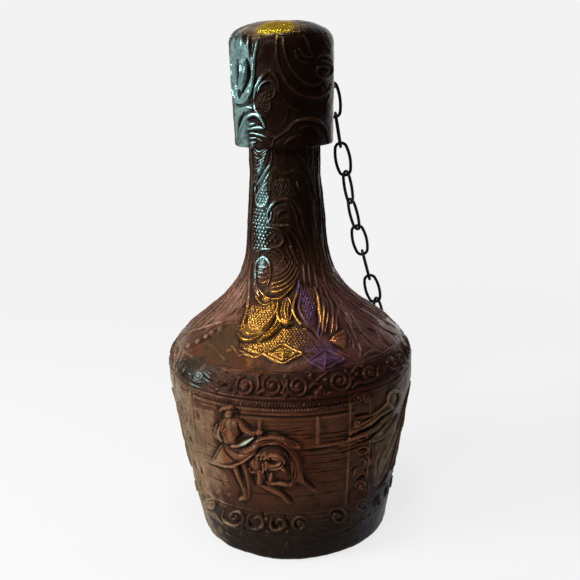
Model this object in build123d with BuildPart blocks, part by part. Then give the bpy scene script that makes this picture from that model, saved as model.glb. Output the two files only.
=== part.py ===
"""Leather-covered genie bottle with a stopper cap that hangs on a tether chain.

The bottle stands on the plane z = 0 with its axis on Z, and its front faces -Y. Lengths are in millimetres.
A waxed leather skin is moulded over a glass bottle. The cap is a turned wooden core in the same leather,
with a cork glued into it. The chain hangs from a wire staple in the cap to one in the jacket.
"""
from build123d import *
import os
from math import atan2, cos, degrees, radians, sin, sqrt

os.makedirs("parts", exist_ok=True)

# Outside of the leather: corners of the outline, which fillets round off
heel_corner_radius = 49.4
shoulder_corner_radius = 65.8
shoulder_corner_height = 100.5
shoulder_rise = 35.0
neck_root_radius = 21.7
neck_radius = 17.2
neck_length = 75.1
neck_slim_share = 0.73
heel_fillet = 4.0
shoulder_fillet = 28.0
neck_root_fillet = 46.0
neck_slim_fillet = 60.0

# Leather skin of the bottle
leather_thickness = 2.2
glue_gap = 0.1
jacket_lap_above_corner = 5.0
jacket_seam_gap = 0.6
jacket_seam_azimuth = 201.0
base_leather_margin = 4.2
welt_radius = 0.8
foot_rise = 0.5
roll_radius = 0.6
scroll_roll_below_corner = 6.0
border_top_height = 30.0
border_bottom_height = 16.5

# Glass
glass_wall = 3.5
mouth_bore_radius = 10.6
lip_above_leather = 1.4
lip_fillet = 0.8
punt_radius = 27.0
punt_rise = 8.0

# Cap
cap_lap_over_neck = 5.6
cap_overhang = 7.0
cap_taper = 1.4
cap_height = 58.3
cap_leather_thickness = 2.0
cap_top_wrap = 6.5
cap_dome_rise = 5.4
cap_dome_rounding = 34.0
cap_edge_rounding = 8.0
cap_neck_clearance = 1.2
seat_clearance = 0.3

# Cork
cork_length_in_mouth = 27.0
cork_length_in_cap = 14.0
cork_bore_clearance = 0.3
cork_taper = 0.8
cork_chamfer = 1.0

# Chain of oval wire links
link_wire_radius = 0.8
link_inner_width = 5.9
link_end_inner_radius = 2.2
link_play = 0.3
chain_top_above_rim = 25.8
chain_top_stand_off = 4.1
chain_top_azimuth = 31.9
chain_end_below_corner = 5.6
chain_end_stand_off = 5.3
chain_end_azimuth = 38.7
chain_bow = [-5.4, -4.3, -2.9, -1.3, 0.3, 1.7, 3.1, 4.2, 4.6]
chain_twists = [-19.0, 43.0, -46.0, 15.0, 77.0, 138.0, 226.0, 316.0, 376.0]

# Wire staples that the chain hangs between
staple_wire_radius = 0.9
staple_half_width = 3.4
staple_corner_radius = 1.6
staple_hole_clearance = 0.05
cap_staple_depth = 7.0
jacket_staple_depth = 1.6
jacket_staple_turn = 40.0


def inset_points(points, depth):
    """Inner corners of an outline that runs from the axis outwards and up, each side moved in by depth"""
    corners = [Vector(*point) for point in points]
    moved = []
    for before, corner, after in zip(corners, corners[1:], corners[2:]):
        first = (corner - before).normalized()
        second = (after - corner).normalized()
        first_normal = Vector(-first.Y, first.X)
        second_normal = Vector(-second.Y, second.X)
        shift = (first_normal + second_normal) / (1 + first_normal.dot(second_normal))
        moved.append(corner + shift * depth)
    return moved


def outline_face(depth, top, mouth_radius=None):
    """Half section of the bottle, depth inside the outer leather, closed at the axis and at the height top"""
    points = [
        (0, 0),
        (heel_corner_radius, 0),
        (shoulder_corner_radius, shoulder_corner_height),
        (neck_root_radius, neck_root_height),
        (neck_radius, neck_slim_height),
        (neck_radius, neck_slim_height + neck_top_height),
    ]
    heel, shoulder, root, slim = inset_points(points, depth)
    slim_radius = slim.X if mouth_radius is None else mouth_radius
    side = [(0, depth), heel, shoulder, root, (slim_radius, slim.Y), (slim_radius, top)]
    heel_radius = max(heel_fillet - depth, glue_gap)
    radii = [heel_radius, shoulder_fillet - depth, neck_root_fillet + depth, neck_slim_fillet]
    with BuildSketch(Plane.XZ) as section:
        with BuildLine():
            FilletPolyline(*side, radius=radii)
            Polyline((slim_radius, top), (0, top), (0, depth))
        make_face()
    return section.sketch


def dome_face(radius, bottom, rise):
    """Half section of a low dome on the axis"""
    with BuildSketch(Plane.XZ) as section:
        with BuildLine():
            TangentArc((0, bottom + rise), (radius, bottom), tangent=(1, 0))
            Polyline((radius, bottom), (0, bottom), (0, bottom + rise))
        make_face()
    return section.sketch


def cap_face(depth):
    """Half section of the cap, depth inside its leather, with a rounded edge and a low dome"""
    side = [
        (cap_bottom_radius - depth, cap_bottom_height),
        (cap_top_radius - depth, cap_top_height - cap_dome_rise - depth),
        (cap_top_radius / 2, cap_top_height - depth),
        (0, cap_top_height - depth),
    ]
    with BuildSketch(Plane.XZ) as section:
        with BuildLine():
            FilletPolyline(*side, radius=[cap_edge_rounding - depth, cap_dome_rounding])
            Polyline(side[-1], (0, cap_bottom_height), side[0])
        make_face()
    return section.sketch


def outline_radius(height):
    """Radius of the outer leather at a height"""
    level = Edge.make_line((0, 0, height), (4 * shoulder_corner_radius, 0, height))
    return max(vertex.X for vertex in (leather_outer.faces()[0] & level).vertices())


def heading_vector(azimuth):
    """Level unit vector at an azimuth in degrees from +X towards +Y"""
    return Vector(cos(radians(azimuth)), sin(radians(azimuth)), 0)


def staple_solid(bar, outward, length):
    """U of round wire: a level bar square to outward, with both legs running back by length"""
    across = Vector(0, 0, 1).cross(outward)
    left = bar - across * staple_half_width
    right = bar + across * staple_half_width
    with BuildPart() as staple:
        with BuildLine() as wire:
            FilletPolyline(left - outward * length, left, right, right - outward * length, radius=staple_corner_radius)
        with BuildSketch(Plane(wire.line @ 0, z_dir=wire.line % 0)):
            Circle(staple_wire_radius)
        sweep()
    return staple.part


def staple_legs(bar, outward, length):
    """Pair of round pegs in which a staple's legs run, a little thicker than its wire"""
    across = Vector(0, 0, 1).cross(outward)
    start = bar - outward * length
    with BuildPart() as pegs:
        with BuildSketch(Plane(start, x_dir=across, z_dir=outward)):
            with Locations((-staple_half_width, 0), (staple_half_width, 0)):
                Circle(staple_wire_radius + staple_hole_clearance)
        extrude(amount=length)
    return pegs.part


# Sizes that follow from the ones above
neck_root_height = shoulder_corner_height + shoulder_rise
neck_top_height = neck_root_height + neck_length
neck_slim_height = neck_root_height + neck_length * neck_slim_share
cap_bottom_height = neck_top_height - cap_lap_over_neck
glass_depth = leather_thickness + glue_gap
cavity_depth = glass_depth + glass_wall
jacket_top_height = shoulder_corner_height + jacket_lap_above_corner
lip_height = neck_top_height + lip_above_leather
seat_height = lip_height + seat_clearance
cap_top_height = cap_bottom_height + cap_height
cap_side_top = cap_top_height - cap_top_wrap
cap_bottom_radius = neck_radius + cap_overhang
cap_top_radius = cap_bottom_radius + cap_taper
cap_slope = cap_taper / (cap_height - cap_dome_rise)
cork_radius = mouth_bore_radius - cork_bore_clearance

# Section of the leather, which the jacket and the shoulder piece are cut from
leather_outer = outline_face(0, neck_top_height)
leather_inner = outline_face(leather_thickness, neck_top_height)

# Chain: it runs from the cap to the shoulder's edge, slightly bowed, and its links share the way between them
chain_top_outward = heading_vector(chain_top_azimuth)
chain_end_outward = heading_vector(chain_end_azimuth)
chain_top_radius = cap_bottom_radius + cap_slope * chain_top_above_rim + chain_top_stand_off
chain_end_height = shoulder_corner_height - chain_end_below_corner
chain_end_radius = outline_radius(chain_end_height) + chain_end_stand_off
chain_top = chain_top_outward * chain_top_radius + Vector(0, 0, cap_bottom_height + chain_top_above_rim)
chain_end = chain_end_outward * chain_end_radius + Vector(0, 0, chain_end_height)
chain_way = chain_end - chain_top
heading = Vector(chain_way.X, chain_way.Y, 0).normalized()
plane_normal = Vector(0, 0, 1).cross(heading)
mean_lean = degrees(atan2(chain_way.dot(heading), -chain_way.Z))
link_pitch = chain_way.length / sum(cos(radians(bow)) for bow in chain_bow)
link_overlap = 2 * link_wire_radius + link_play
link_semi_length = (link_pitch + link_overlap) / 2
link_semi_width = link_inner_width / 2 + link_wire_radius
link_end_radius = link_end_inner_radius + link_wire_radius

link_planes = []
link_hinges = []
hinge = chain_top
for bow, twist in zip(chain_bow, chain_twists):
    lean = radians(mean_lean + bow)
    along = heading * sin(lean) - Vector(0, 0, 1) * cos(lean)
    normal = plane_normal.rotate(Axis((0, 0, 0), along), -twist)
    link_planes.append(Plane(hinge + along * (link_semi_length - link_overlap), x_dir=along, z_dir=normal))
    link_hinges.append(hinge)
    hinge = hinge + along * link_pitch

# Glass bottle: hollow, with a punt under it and a rounded lip
glass_outer = outline_face(glass_depth, lip_height)
glass_cavity = outline_face(cavity_depth, lip_height, mouth_bore_radius)
punt_below = dome_face(punt_radius, glass_depth, punt_rise)
punt_above = dome_face(punt_radius + glass_wall, cavity_depth, punt_rise)
with BuildPart() as glass_bottle:
    with BuildSketch(Plane.XZ) as glass_section:
        add(glass_outer)
        add(glass_cavity, mode=Mode.SUBTRACT)
        add(punt_above)
        add(punt_below, mode=Mode.SUBTRACT)
    revolve(axis=Axis.Z)
    lip_edges = glass_bottle.edges().filter_by(GeomType.CIRCLE).group_by(Axis.Z)[-1]
    fillet(lip_edges, radius=lip_fillet)

base_leather_radius = heel_corner_radius - base_leather_margin

# Moulded leather of the shoulder and neck, butted on the jacket's top edge
with BuildPart() as shoulder_leather:
    with BuildSketch(Plane.XZ) as shoulder_section:
        add(leather_outer)
        add(leather_inner, mode=Mode.SUBTRACT)
        with Locations((0, jacket_top_height + glue_gap)):
            Rectangle(shoulder_corner_radius, neck_top_height, align=(Align.MIN, Align.MIN), mode=Mode.INTERSECT)
    revolve(axis=Axis.Z)

# Disc under the base
with BuildPart() as base_leather:
    with BuildSketch(Plane.XY):
        Circle(base_leather_radius)
    extrude(amount=leather_thickness)

# Cap core: turned wood with a recess for the neck's end and a blind hole for the cork
core_bottom = cap_bottom_height + cap_leather_thickness + glue_gap
recess_radius = neck_radius + cap_neck_clearance
cap_outer = cap_face(0)
cap_inner = cap_face(cap_leather_thickness)
cap_core_outer = cap_face(cap_leather_thickness + glue_gap)
with BuildPart() as cap_core:
    with BuildSketch(Plane.XZ) as core_section:
        add(cap_core_outer)
        with Locations((0, core_bottom)):
            Rectangle(cap_top_radius, cap_height, align=(Align.MIN, Align.MIN), mode=Mode.INTERSECT)
    revolve(axis=Axis.Z)
    with BuildSketch(Plane.XY.offset(core_bottom)):
        Circle(recess_radius)
    extrude(amount=seat_height - core_bottom, mode=Mode.SUBTRACT)
    with BuildSketch(Plane.XY.offset(seat_height)):
        Circle(cork_radius + glue_gap)
    extrude(amount=cork_length_in_cap + glue_gap, mode=Mode.SUBTRACT)
    add(staple_legs(chain_top, chain_top_outward, cap_staple_depth), mode=Mode.SUBTRACT)

# Leather round the cap's side
with BuildPart() as cap_side_leather:
    with BuildSketch(Plane.XZ) as cap_side_section:
        add(cap_outer)
        add(cap_inner, mode=Mode.SUBTRACT)
        with Locations((0, cap_side_top)):
            Rectangle(cap_top_radius, cap_height, align=(Align.MIN, Align.MAX), mode=Mode.INTERSECT)
    revolve(axis=Axis.Z)
    add(staple_legs(chain_top, chain_top_outward, cap_staple_depth), mode=Mode.SUBTRACT)

# Domed leather over the cap's top, wrapped down round its edge
with BuildPart() as cap_top_leather:
    with BuildSketch(Plane.XZ) as cap_top_section:
        add(cap_outer)
        add(cap_inner, mode=Mode.SUBTRACT)
        with Locations((0, cap_side_top + glue_gap)):
            Rectangle(cap_top_radius, cap_height, align=(Align.MIN, Align.MIN), mode=Mode.INTERSECT)
    revolve(axis=Axis.Z)

# Leather ring under the cap
with BuildPart() as cap_bottom_leather:
    with BuildSketch(Plane.XY.offset(cap_bottom_height)):
        Circle(cap_bottom_radius - cap_leather_thickness - glue_gap)
        Circle(recess_radius, mode=Mode.SUBTRACT)
    extrude(amount=cap_leather_thickness)

# Cork: straight where it is glued into the cap, tapered in the mouth
with BuildPart() as cork_stopper:
    with BuildSketch(Plane.XZ) as cork_section:
        with BuildLine():
            Polyline(
                (0, seat_height - cork_length_in_mouth),
                (cork_radius - cork_taper - cork_chamfer, seat_height - cork_length_in_mouth),
                (cork_radius - cork_taper, seat_height - cork_length_in_mouth + cork_chamfer),
                (cork_radius, seat_height),
                (cork_radius, seat_height + cork_length_in_cap),
                (0, seat_height + cork_length_in_cap),
                close=True,
            )
        make_face()
    revolve(axis=Axis.Z)

# Staple in the cap that the first link hangs on
cap_staple = staple_solid(chain_top, chain_top_outward, cap_staple_depth)

# Staple in the jacket, just below and behind the last link's lower end
last_plane = link_planes[-1]
last_lean = radians(mean_lean + chain_bow[-1] - jacket_staple_turn)
end_centre = last_plane.origin + last_plane.x_dir * (link_semi_length - link_end_radius)
turned = heading * sin(last_lean) - Vector(0, 0, 1) * cos(last_lean)
bar_distance = link_end_radius + link_wire_radius + staple_wire_radius + link_play
jacket_bar = end_centre + turned * bar_distance
jacket_outward = heading_vector(degrees(atan2(jacket_bar.Y, jacket_bar.X)))
jacket_reach = sqrt(jacket_bar.X**2 + jacket_bar.Y**2)
jacket_staple_length = jacket_reach - outline_radius(jacket_bar.Z) + jacket_staple_depth
jacket_staple = staple_solid(jacket_bar, jacket_outward, jacket_staple_length)

# Jacket: the wrapped body leather, butted at a seam on the left, with a welt along its top edge and
# rolls that part the scroll band, the scene and the foot border
roll_heights = [shoulder_corner_height - scroll_roll_below_corner, border_top_height, border_bottom_height]
with BuildPart() as body_leather:
    with BuildSketch(Plane.XZ) as jacket_section:
        add(leather_outer)
        add(leather_inner, mode=Mode.SUBTRACT)
        with Locations((base_leather_radius + glue_gap, jacket_top_height)):
            Rectangle(
                shoulder_corner_radius,
                jacket_top_height - foot_rise,
                align=(Align.MIN, Align.MAX),
                mode=Mode.INTERSECT,
            )
        with Locations((outline_radius(jacket_top_height - welt_radius), jacket_top_height - welt_radius)):
            Circle(welt_radius)
        with Locations(*[(outline_radius(height), height) for height in roll_heights]):
            Circle(roll_radius)
        add(leather_inner, mode=Mode.SUBTRACT)
    revolve(axis=Axis.Z)
    with BuildSketch(Plane.XY) as seam_section:
        with Locations(heading_vector(jacket_seam_azimuth) * shoulder_corner_radius / 2):
            Rectangle(shoulder_corner_radius, jacket_seam_gap, rotation=jacket_seam_azimuth)
    extrude(amount=jacket_top_height, mode=Mode.SUBTRACT)
    add(staple_legs(jacket_bar, jacket_outward, jacket_staple_length), mode=Mode.SUBTRACT)

# Chain link, an oval of four arcs: long flat sides and round ends
side_radius = (
    (link_semi_length - link_end_radius) ** 2 + link_semi_width**2 - link_end_radius**2
) / (2 * (link_semi_width - link_end_radius))


def link_solid(plane):
    """One closed oval link of round wire in a plane, its length along the plane's x"""
    side_centre = side_radius - link_semi_width
    end_centre_x = link_semi_length - link_end_radius
    spread = degrees(atan2(side_centre, end_centre_x))
    with BuildPart() as link:
        with BuildLine(plane) as oval:
            CenterArc((end_centre_x, 0), link_end_radius, -spread, 2 * spread)
            CenterArc((0, -side_centre), side_radius, spread, 180 - 2 * spread)
            CenterArc((-end_centre_x, 0), link_end_radius, 180 - spread, 2 * spread)
            CenterArc((0, side_centre), side_radius, 180 + spread, 180 - 2 * spread)
        start = oval.line @ 0
        with BuildSketch(Plane(start, z_dir=oval.line % 0)):
            Circle(link_wire_radius)
        sweep()
    return link.part


pieces = {
    "glass_bottle": glass_bottle.part,
    "body_leather": body_leather.part,
    "shoulder_leather": shoulder_leather.part,
    "base_leather": base_leather.part,
    "cap_core": cap_core.part,
    "cap_side_leather": cap_side_leather.part,
    "cap_top_leather": cap_top_leather.part,
    "cap_bottom_leather": cap_bottom_leather.part,
    "cork_stopper": cork_stopper.part,
    "cap_staple": cap_staple,
    "jacket_staple": jacket_staple,
}
for number, plane in enumerate(link_planes, start=1):
    pieces[f"chain_link_{number:02d}"] = link_solid(plane)

for name, piece in pieces.items():
    piece.label = name
    export_step(piece, f"parts/{name}.step")
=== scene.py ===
"""Looks of the leather-covered genie bottle: embossed skin, waxed leather, glass, cork, wood and chain"""

import bpy
import math
import numpy as np
from mathutils import Matrix, Vector


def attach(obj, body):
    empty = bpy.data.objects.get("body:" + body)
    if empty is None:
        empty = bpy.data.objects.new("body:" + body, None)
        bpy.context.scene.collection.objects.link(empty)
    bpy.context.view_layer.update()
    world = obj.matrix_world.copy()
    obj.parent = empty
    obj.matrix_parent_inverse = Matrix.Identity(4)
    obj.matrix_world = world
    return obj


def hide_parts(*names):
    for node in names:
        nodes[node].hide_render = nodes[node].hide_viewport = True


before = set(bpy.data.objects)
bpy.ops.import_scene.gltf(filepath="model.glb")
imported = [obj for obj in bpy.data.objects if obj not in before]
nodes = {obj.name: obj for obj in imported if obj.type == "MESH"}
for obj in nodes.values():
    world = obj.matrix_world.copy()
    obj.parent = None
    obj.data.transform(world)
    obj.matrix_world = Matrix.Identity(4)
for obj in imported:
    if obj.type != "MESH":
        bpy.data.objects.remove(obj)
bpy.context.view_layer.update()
MM = 0.001

# Camera: the photograph's frame and the focal length in pixels, the eye in mm, and the angles in radians
PICTURE = 580
FOCAL = 934.2
EYE = np.array([0.0, -464.9, 264.3])
PITCH, YAW, ROLL = 0.283, 0.0017, 0.0281
SENSOR = 36.0
NEAR_CLIP = 0.01


def set_camera():
    """Puts the camera where the photograph was taken from"""
    data = bpy.data.cameras.new("camera")
    data.sensor_fit = "HORIZONTAL"
    data.sensor_width = SENSOR
    data.lens = FOCAL / PICTURE * SENSOR
    data.clip_start = NEAR_CLIP
    camera = bpy.data.objects.new("camera", data)
    bpy.context.scene.collection.objects.link(camera)
    turn = Matrix.Rotation(-YAW, 4, "Z") @ Matrix.Rotation(math.pi / 2 - PITCH, 4, "X")
    camera.matrix_world = Matrix.Translation(Vector(EYE * MM)) @ turn @ Matrix.Rotation(-ROLL, 4, "Z")
    bpy.context.scene.camera = camera


set_camera()


# Spacing in mm of the points of a rounded corner
ROUNDING_STEP = 0.25
# Cords: how much the maker's hand varies their width and height and after how many points, how fast their
# ends fill out, how round their backs are, and in half widths how far round them the grid is searched and
# the distance that the search starts from
WIDTH_SWAY = 0.16
HEIGHT_SWAY = 0.28
SWAY_EVERY = 4
TAPER = 3
BACK_CURVE = 0.7
CORD_MARGIN = 1.3
FAR_OFF = 9.0
# Margins in mm round a cushion and round pebbled ground
CUSHION_MARGIN = 0.5
PEBBLE_MARGIN = 0.2
# Pebbles: their shake, their size and the spacing of their rows in shares of the pitch, and the number of
# cells after which the shake repeats
PEBBLE_SHAKE = 0.12
PEBBLE_SIZE = 0.46
PEBBLE_ROW = 0.87
PEBBLE_REPEAT = 97
# Tool marks: lumps and seed of their drift and of their firmness
DRIFT_LUMPS = (9, 5)
FIRMNESS_LUMPS = (21, 6)
DRIFT_SHARE = 0.2
FIRMNESS, FIRMNESS_SWAY = 0.6, 0.5
# Cords at least this high in mm have no pebbles on them
BARE_CORD = 0.15
# The distances from the eye, in mm, at which its rays are tried against a skin
RAY_SPOTS = np.linspace(360, 560, 1601)
TINY = 1e-9


def rounded(corners, radii):
    """Points along a run of straight sides in mm, with a rounding of its own at each inner corner"""
    corners = [np.array(corner, float) for corner in corners]
    line = [corners[0]]
    for before, corner, after, radius in zip(corners, corners[1:], corners[2:], radii):
        back = (before - corner) / np.linalg.norm(before - corner)
        ahead = (after - corner) / np.linalg.norm(after - corner)
        half = math.acos(np.clip(back @ ahead, -1, 1)) / 2
        reach = radius / math.tan(half)
        middle = corner + (back + ahead) / np.linalg.norm(back + ahead) * radius / math.sin(half)
        start = corner + back * reach - middle
        end = corner + ahead * reach - middle
        sweep = math.atan2(start[0] * end[1] - start[1] * end[0], start @ end)
        for turn in np.linspace(0, sweep, 2 + int(abs(sweep) * radius / ROUNDING_STEP)):
            c, s = math.cos(turn), math.sin(turn)
            line.append(middle + (start[0] * c - start[1] * s, start[0] * s + start[1] * c))
    line.append(corners[-1])
    return np.array(line)


def blurred(field, reach):
    """The field averaged over about reach cells each way, wrapping round the columns"""
    for _ in range(2):
        padded = np.concatenate([field[:, -reach:], field, field[:, :reach]], axis=1)
        total = np.cumsum(np.pad(padded, ((0, 0), (1, 0))), axis=1)
        field = (total[:, 2 * reach + 1 :] - total[:, : -2 * reach - 1]) / (2 * reach + 1)
        padded = np.concatenate([field[:1].repeat(reach, 0), field, field[-1:].repeat(reach, 0)])
        total = np.cumsum(np.pad(padded, ((1, 0), (0, 0))), axis=0)
        field = (total[2 * reach + 1 :] - total[: -2 * reach - 1]) / (2 * reach + 1)
    return field


def unevenness(rows, columns, cells, seed):
    """A soft random field, about 1 high, with lumps that many cells wide"""
    chance = np.random.default_rng(seed)
    coarse = chance.normal(size=(rows // cells + 2, max(1, columns // cells)))
    lumps = coarse[np.ix_(np.arange(rows) // cells, np.arange(columns) * coarse.shape[1] // columns)]
    field = blurred(lumps, cells // 2)
    return field / field.std()


def within(path, grid_x, grid_y):
    """Which cells lie inside a closed path"""
    inside = np.zeros(grid_x.shape, bool)
    for (x0, y0), (x1, y1) in zip(path, np.roll(path, -1, axis=0)):
        crosses = (y0 > grid_y) != (y1 > grid_y)
        rise = (y1 - y0) + TINY * (y1 == y0)
        inside ^= crosses & (grid_x < (x1 - x0) * (grid_y - y0) / rise + x0)
    return inside


def from_segment(start, end, grid_x, grid_y):
    """Distance of each cell from a straight segment, and the share of the segment that is nearest"""
    dx, dy = end - start
    share = ((grid_x - start[0]) * dx + (grid_y - start[1]) * dy) / (dx * dx + dy * dy + TINY)
    share = np.clip(share, 0, 1)
    return np.hypot(grid_x - start[0] - share * dx, grid_y - start[1] - share * dy), share


class Skin:
    """A round leather surface, drawn on in mm: rows run along its outline, columns round one repeat"""

    def __init__(self, line, repeat, step, widest):
        away = np.concatenate([[0], np.cumsum(np.hypot(*np.diff(line, axis=0).T))])
        self.rows = np.linspace(0, away[-1], int(away[-1] / step))
        self.radius = np.interp(self.rows, away, line[:, 0])
        self.level = np.interp(self.rows, away, line[:, 1])
        slope = np.gradient(self.radius), np.gradient(self.level)
        size = np.hypot(*slope)
        self.out, self.up = slope[1] / size, -slope[0] / size
        self.repeat = repeat
        self.count = int(math.radians(repeat) * widest / step)
        self.gap = repeat / self.count
        shape = (len(self.rows), self.count)
        self.form, self.lines, self.cuts, self.ground = (np.zeros(shape) for _ in range(4))
        self.hand = np.random.default_rng(len(line))

    def hit(self, pixels):
        """Azimuth in degrees and row length in mm where the eye's rays through these pixels meet the skin"""
        pixels = np.atleast_2d(np.asarray(pixels, float)) - PICTURE / 2
        co, si = math.cos(ROLL), math.sin(ROLL)
        across = co * pixels[:, 0] - si * pixels[:, 1]
        down = si * pixels[:, 0] + co * pixels[:, 1]
        ahead = np.array([math.sin(YAW) * math.cos(PITCH), math.cos(YAW) * math.cos(PITCH), -math.sin(PITCH)])
        right = np.array([math.cos(YAW), -math.sin(YAW), 0])
        above = np.cross(right, ahead)
        rays = across[:, None] * right - down[:, None] * above + FOCAL * ahead
        rays /= np.linalg.norm(rays, axis=1)[:, None]
        spots = EYE + RAY_SPOTS[None, :, None] * rays[:, None, :]
        reach = np.hypot(spots[..., 0], spots[..., 1])
        order = np.argsort(self.level)
        outline = self.level[order], self.radius[order]
        inside = reach < np.interp(spots[..., 2], *outline, left=-1, right=-1)
        grazing = np.argmin(reach - np.interp(spots[..., 2], *outline), axis=1)
        first = np.where(inside.any(axis=1), inside.argmax(axis=1), grazing)
        spot = spots[np.arange(len(rays)), first]
        rows = np.interp(spot[:, 2], self.level[order], self.rows[order])
        azimuth = (np.degrees(np.arctan2(spot[:, 1], spot[:, 0])) + 270) % 360 - 270
        return np.stack([azimuth, rows], axis=1)

    def row_at(self, level):
        """Row length in mm at a height"""
        return np.interp(level, self.level, self.rows)

    def window(self, path, reach):
        """The part of the grid within reach of a path, with flat coordinates in mm of it and of the path"""
        low, high = np.searchsorted(self.rows, [path[:, 1].min() - reach, path[:, 1].max() + reach])
        rows = np.arange(max(low - 1, 0), min(high + 1, len(self.rows)))
        middle = (path[:, 0].min() + path[:, 0].max()) / 2
        about = np.interp(path[:, 1], self.rows, self.radius)
        pad = math.degrees(reach / about.min())
        first = math.floor((path[:, 0].min() - pad + 180) / self.gap)
        last = math.ceil((path[:, 0].max() + pad + 180) / self.gap)
        columns = np.arange(first, min(last, first + self.count - 1) + 1)
        grid_x = np.radians(columns * self.gap - 180 - middle)[None, :] * self.radius[rows][:, None]
        grid_y = np.repeat(self.rows[rows][:, None], len(columns), axis=1)
        flat = np.stack([np.radians(path[:, 0] - middle) * about, path[:, 1]], axis=1)
        return np.ix_(rows, columns % self.count), grid_x, grid_y, flat

    def near(self, path, widths):
        """Distance from a path in units of its own half width, and the share of its length that is nearest"""
        where, grid_x, grid_y, flat = self.window(path, widths.max() * CORD_MARGIN)
        best = np.full(grid_x.shape, FAR_OFF)
        along = np.zeros(grid_x.shape)
        for k in range(len(flat) - 1):
            gone, share = from_segment(flat[k], flat[k + 1], grid_x, grid_y)
            gone /= widths[k] + share * (widths[k + 1] - widths[k])
            closer = gone < best
            best[closer] = gone[closer]
            along[closer] = ((k + share) / (len(flat) - 1))[closer]
        return where, best, along

    def ridge(self, path, width, height, ends=(0.5, 0.5), cut=False):
        """A raised cord along a path, or with cut a groove; ends says how far it thins out at each end"""
        share = np.linspace(0, 1, len(path))
        thin = np.minimum(1, ends[0] + (1 - ends[0]) * share * TAPER)
        thin *= np.minimum(1, ends[1] + (1 - ends[1]) * (1 - share) * TAPER)
        knots = self.hand.uniform(-1, 1, 2 + len(path) // SWAY_EVERY)
        sway = np.interp(share, np.linspace(0, 1, len(knots)), knots)
        where, best, along = self.near(path, width / 2 * thin * (1 + WIDTH_SWAY * sway))
        firm = np.interp(along, share, np.sqrt(thin) * (1 + HEIGHT_SWAY * sway))
        lift = height * firm * (1 - np.clip(best, 0, 1) ** 2) ** BACK_CURVE
        layer = self.cuts if cut else self.lines
        layer[where] = np.maximum(layer[where], lift)

    def swell(self, path, height, edge, steep=0.5):
        """A raised cushion inside a closed path, rounded off within edge mm of it"""
        where, grid_x, grid_y, flat = self.window(path, CUSHION_MARGIN)
        nearest = np.full(grid_x.shape, np.inf)
        for start, end in zip(flat, np.roll(flat, -1, axis=0)):
            nearest = np.minimum(nearest, from_segment(start, end, grid_x, grid_y)[0])
        inside = within(flat, grid_x, grid_y)
        lift = height * np.where(inside, np.clip(nearest / edge, 0, 1) ** steep, 0)
        self.form[where] = np.maximum(self.form[where], lift)

    def pebble(self, path, pitch, height):
        """Rows of small jittered pebbles over the inside of a closed path"""
        where, grid_x, grid_y, flat = self.window(path, PEBBLE_MARGIN)
        shake = self.hand.uniform(-PEBBLE_SHAKE, PEBBLE_SHAKE, (PEBBLE_REPEAT, PEBBLE_REPEAT, 2))
        v = grid_y / (pitch * PEBBLE_ROW)
        line = np.floor(v)
        u = grid_x / pitch + 0.5 * (line % 2)
        cell = np.floor(u)
        off = shake[line.astype(int) % PEBBLE_REPEAT, cell.astype(int) % PEBBLE_REPEAT]
        across, along = u - cell - 0.5 - off[..., 0], (v - line - 0.5 - off[..., 1]) * PEBBLE_ROW
        gone = np.hypot(across, along) / PEBBLE_SIZE
        lift = height * np.sqrt(np.clip(1 - gone**2, 0, 1)) * within(flat, grid_x, grid_y)
        self.ground[where] = np.maximum(self.ground[where], lift)

    def tool_marks(self, low, high, first, last, pitch, height):
        """Fine level tool marks, uneven and broken, between two heights and two azimuths"""
        rows = np.flatnonzero((self.level >= low) & (self.level <= high))
        columns = np.arange(int((first + 180) / self.gap), int((last + 180) / self.gap)) % self.count
        drift = unevenness(len(rows), len(columns), *DRIFT_LUMPS)
        firm = FIRMNESS + FIRMNESS_SWAY * unevenness(len(rows), len(columns), *FIRMNESS_LUMPS)
        firm = np.clip(firm, 0, 1)
        wave = np.sin(2 * math.pi * (self.rows[rows][:, None] / pitch + DRIFT_SHARE * drift))
        where = np.ix_(rows, columns)
        self.ground[where] = np.maximum(self.ground[where], height * np.clip(wave, 0, 1) * firm)

    def total(self):
        """Height of the whole relief in mm"""
        return self.form + self.lines + self.ground * (self.lines < BARE_CORD) - self.cuts


def points(text):
    """Places written as x,y pairs in a text"""
    return np.array([[float(value) for value in pair.split(",")] for pair in text.split()])


# Spacing of the points of a line, the share of a curl's size that its inner end keeps, and its points per
# turn and unit of size
POINT_SPACING = 1.5
CURL_EYE = 0.15
CURL_POINTS = 3


def smooth(pixels, closed=False):
    """A smooth line through these points, with more of them between, about POINT_SPACING apart"""
    if closed:
        pixels = np.vstack([pixels[-1:], pixels, pixels[:2]])
    else:
        pixels = np.vstack([2 * pixels[0] - pixels[1], pixels, 2 * pixels[-1] - pixels[-2]])
    line = []
    for a, b, c, d in zip(pixels, pixels[1:], pixels[2:], pixels[3:]):
        square, cube = 2 * a - 5 * b + 4 * c - d, 3 * b - a - 3 * c + d
        for t in np.arange(0, 1, 1 / max(2, int(np.hypot(*(c - b)) / POINT_SPACING))):
            line.append(0.5 * (2 * b + (c - a) * t + square * t**2 + cube * t**3))
    if not closed:
        line.append(pixels[-2])
    return np.array(line)


def curled(x, y, size, turns, start, hand):
    """Points of a spiral that winds in from size round x, y, starting at an angle in degrees"""
    share = np.linspace(0, 1, max(8, int(size * turns * CURL_POINTS)))
    reach = size * (1 - share * (1 - CURL_EYE))
    turn = np.radians(start) + hand * 2 * math.pi * turns * share
    return np.stack([x + reach * np.cos(turn), y - reach * np.sin(turn)], axis=1)


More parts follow.
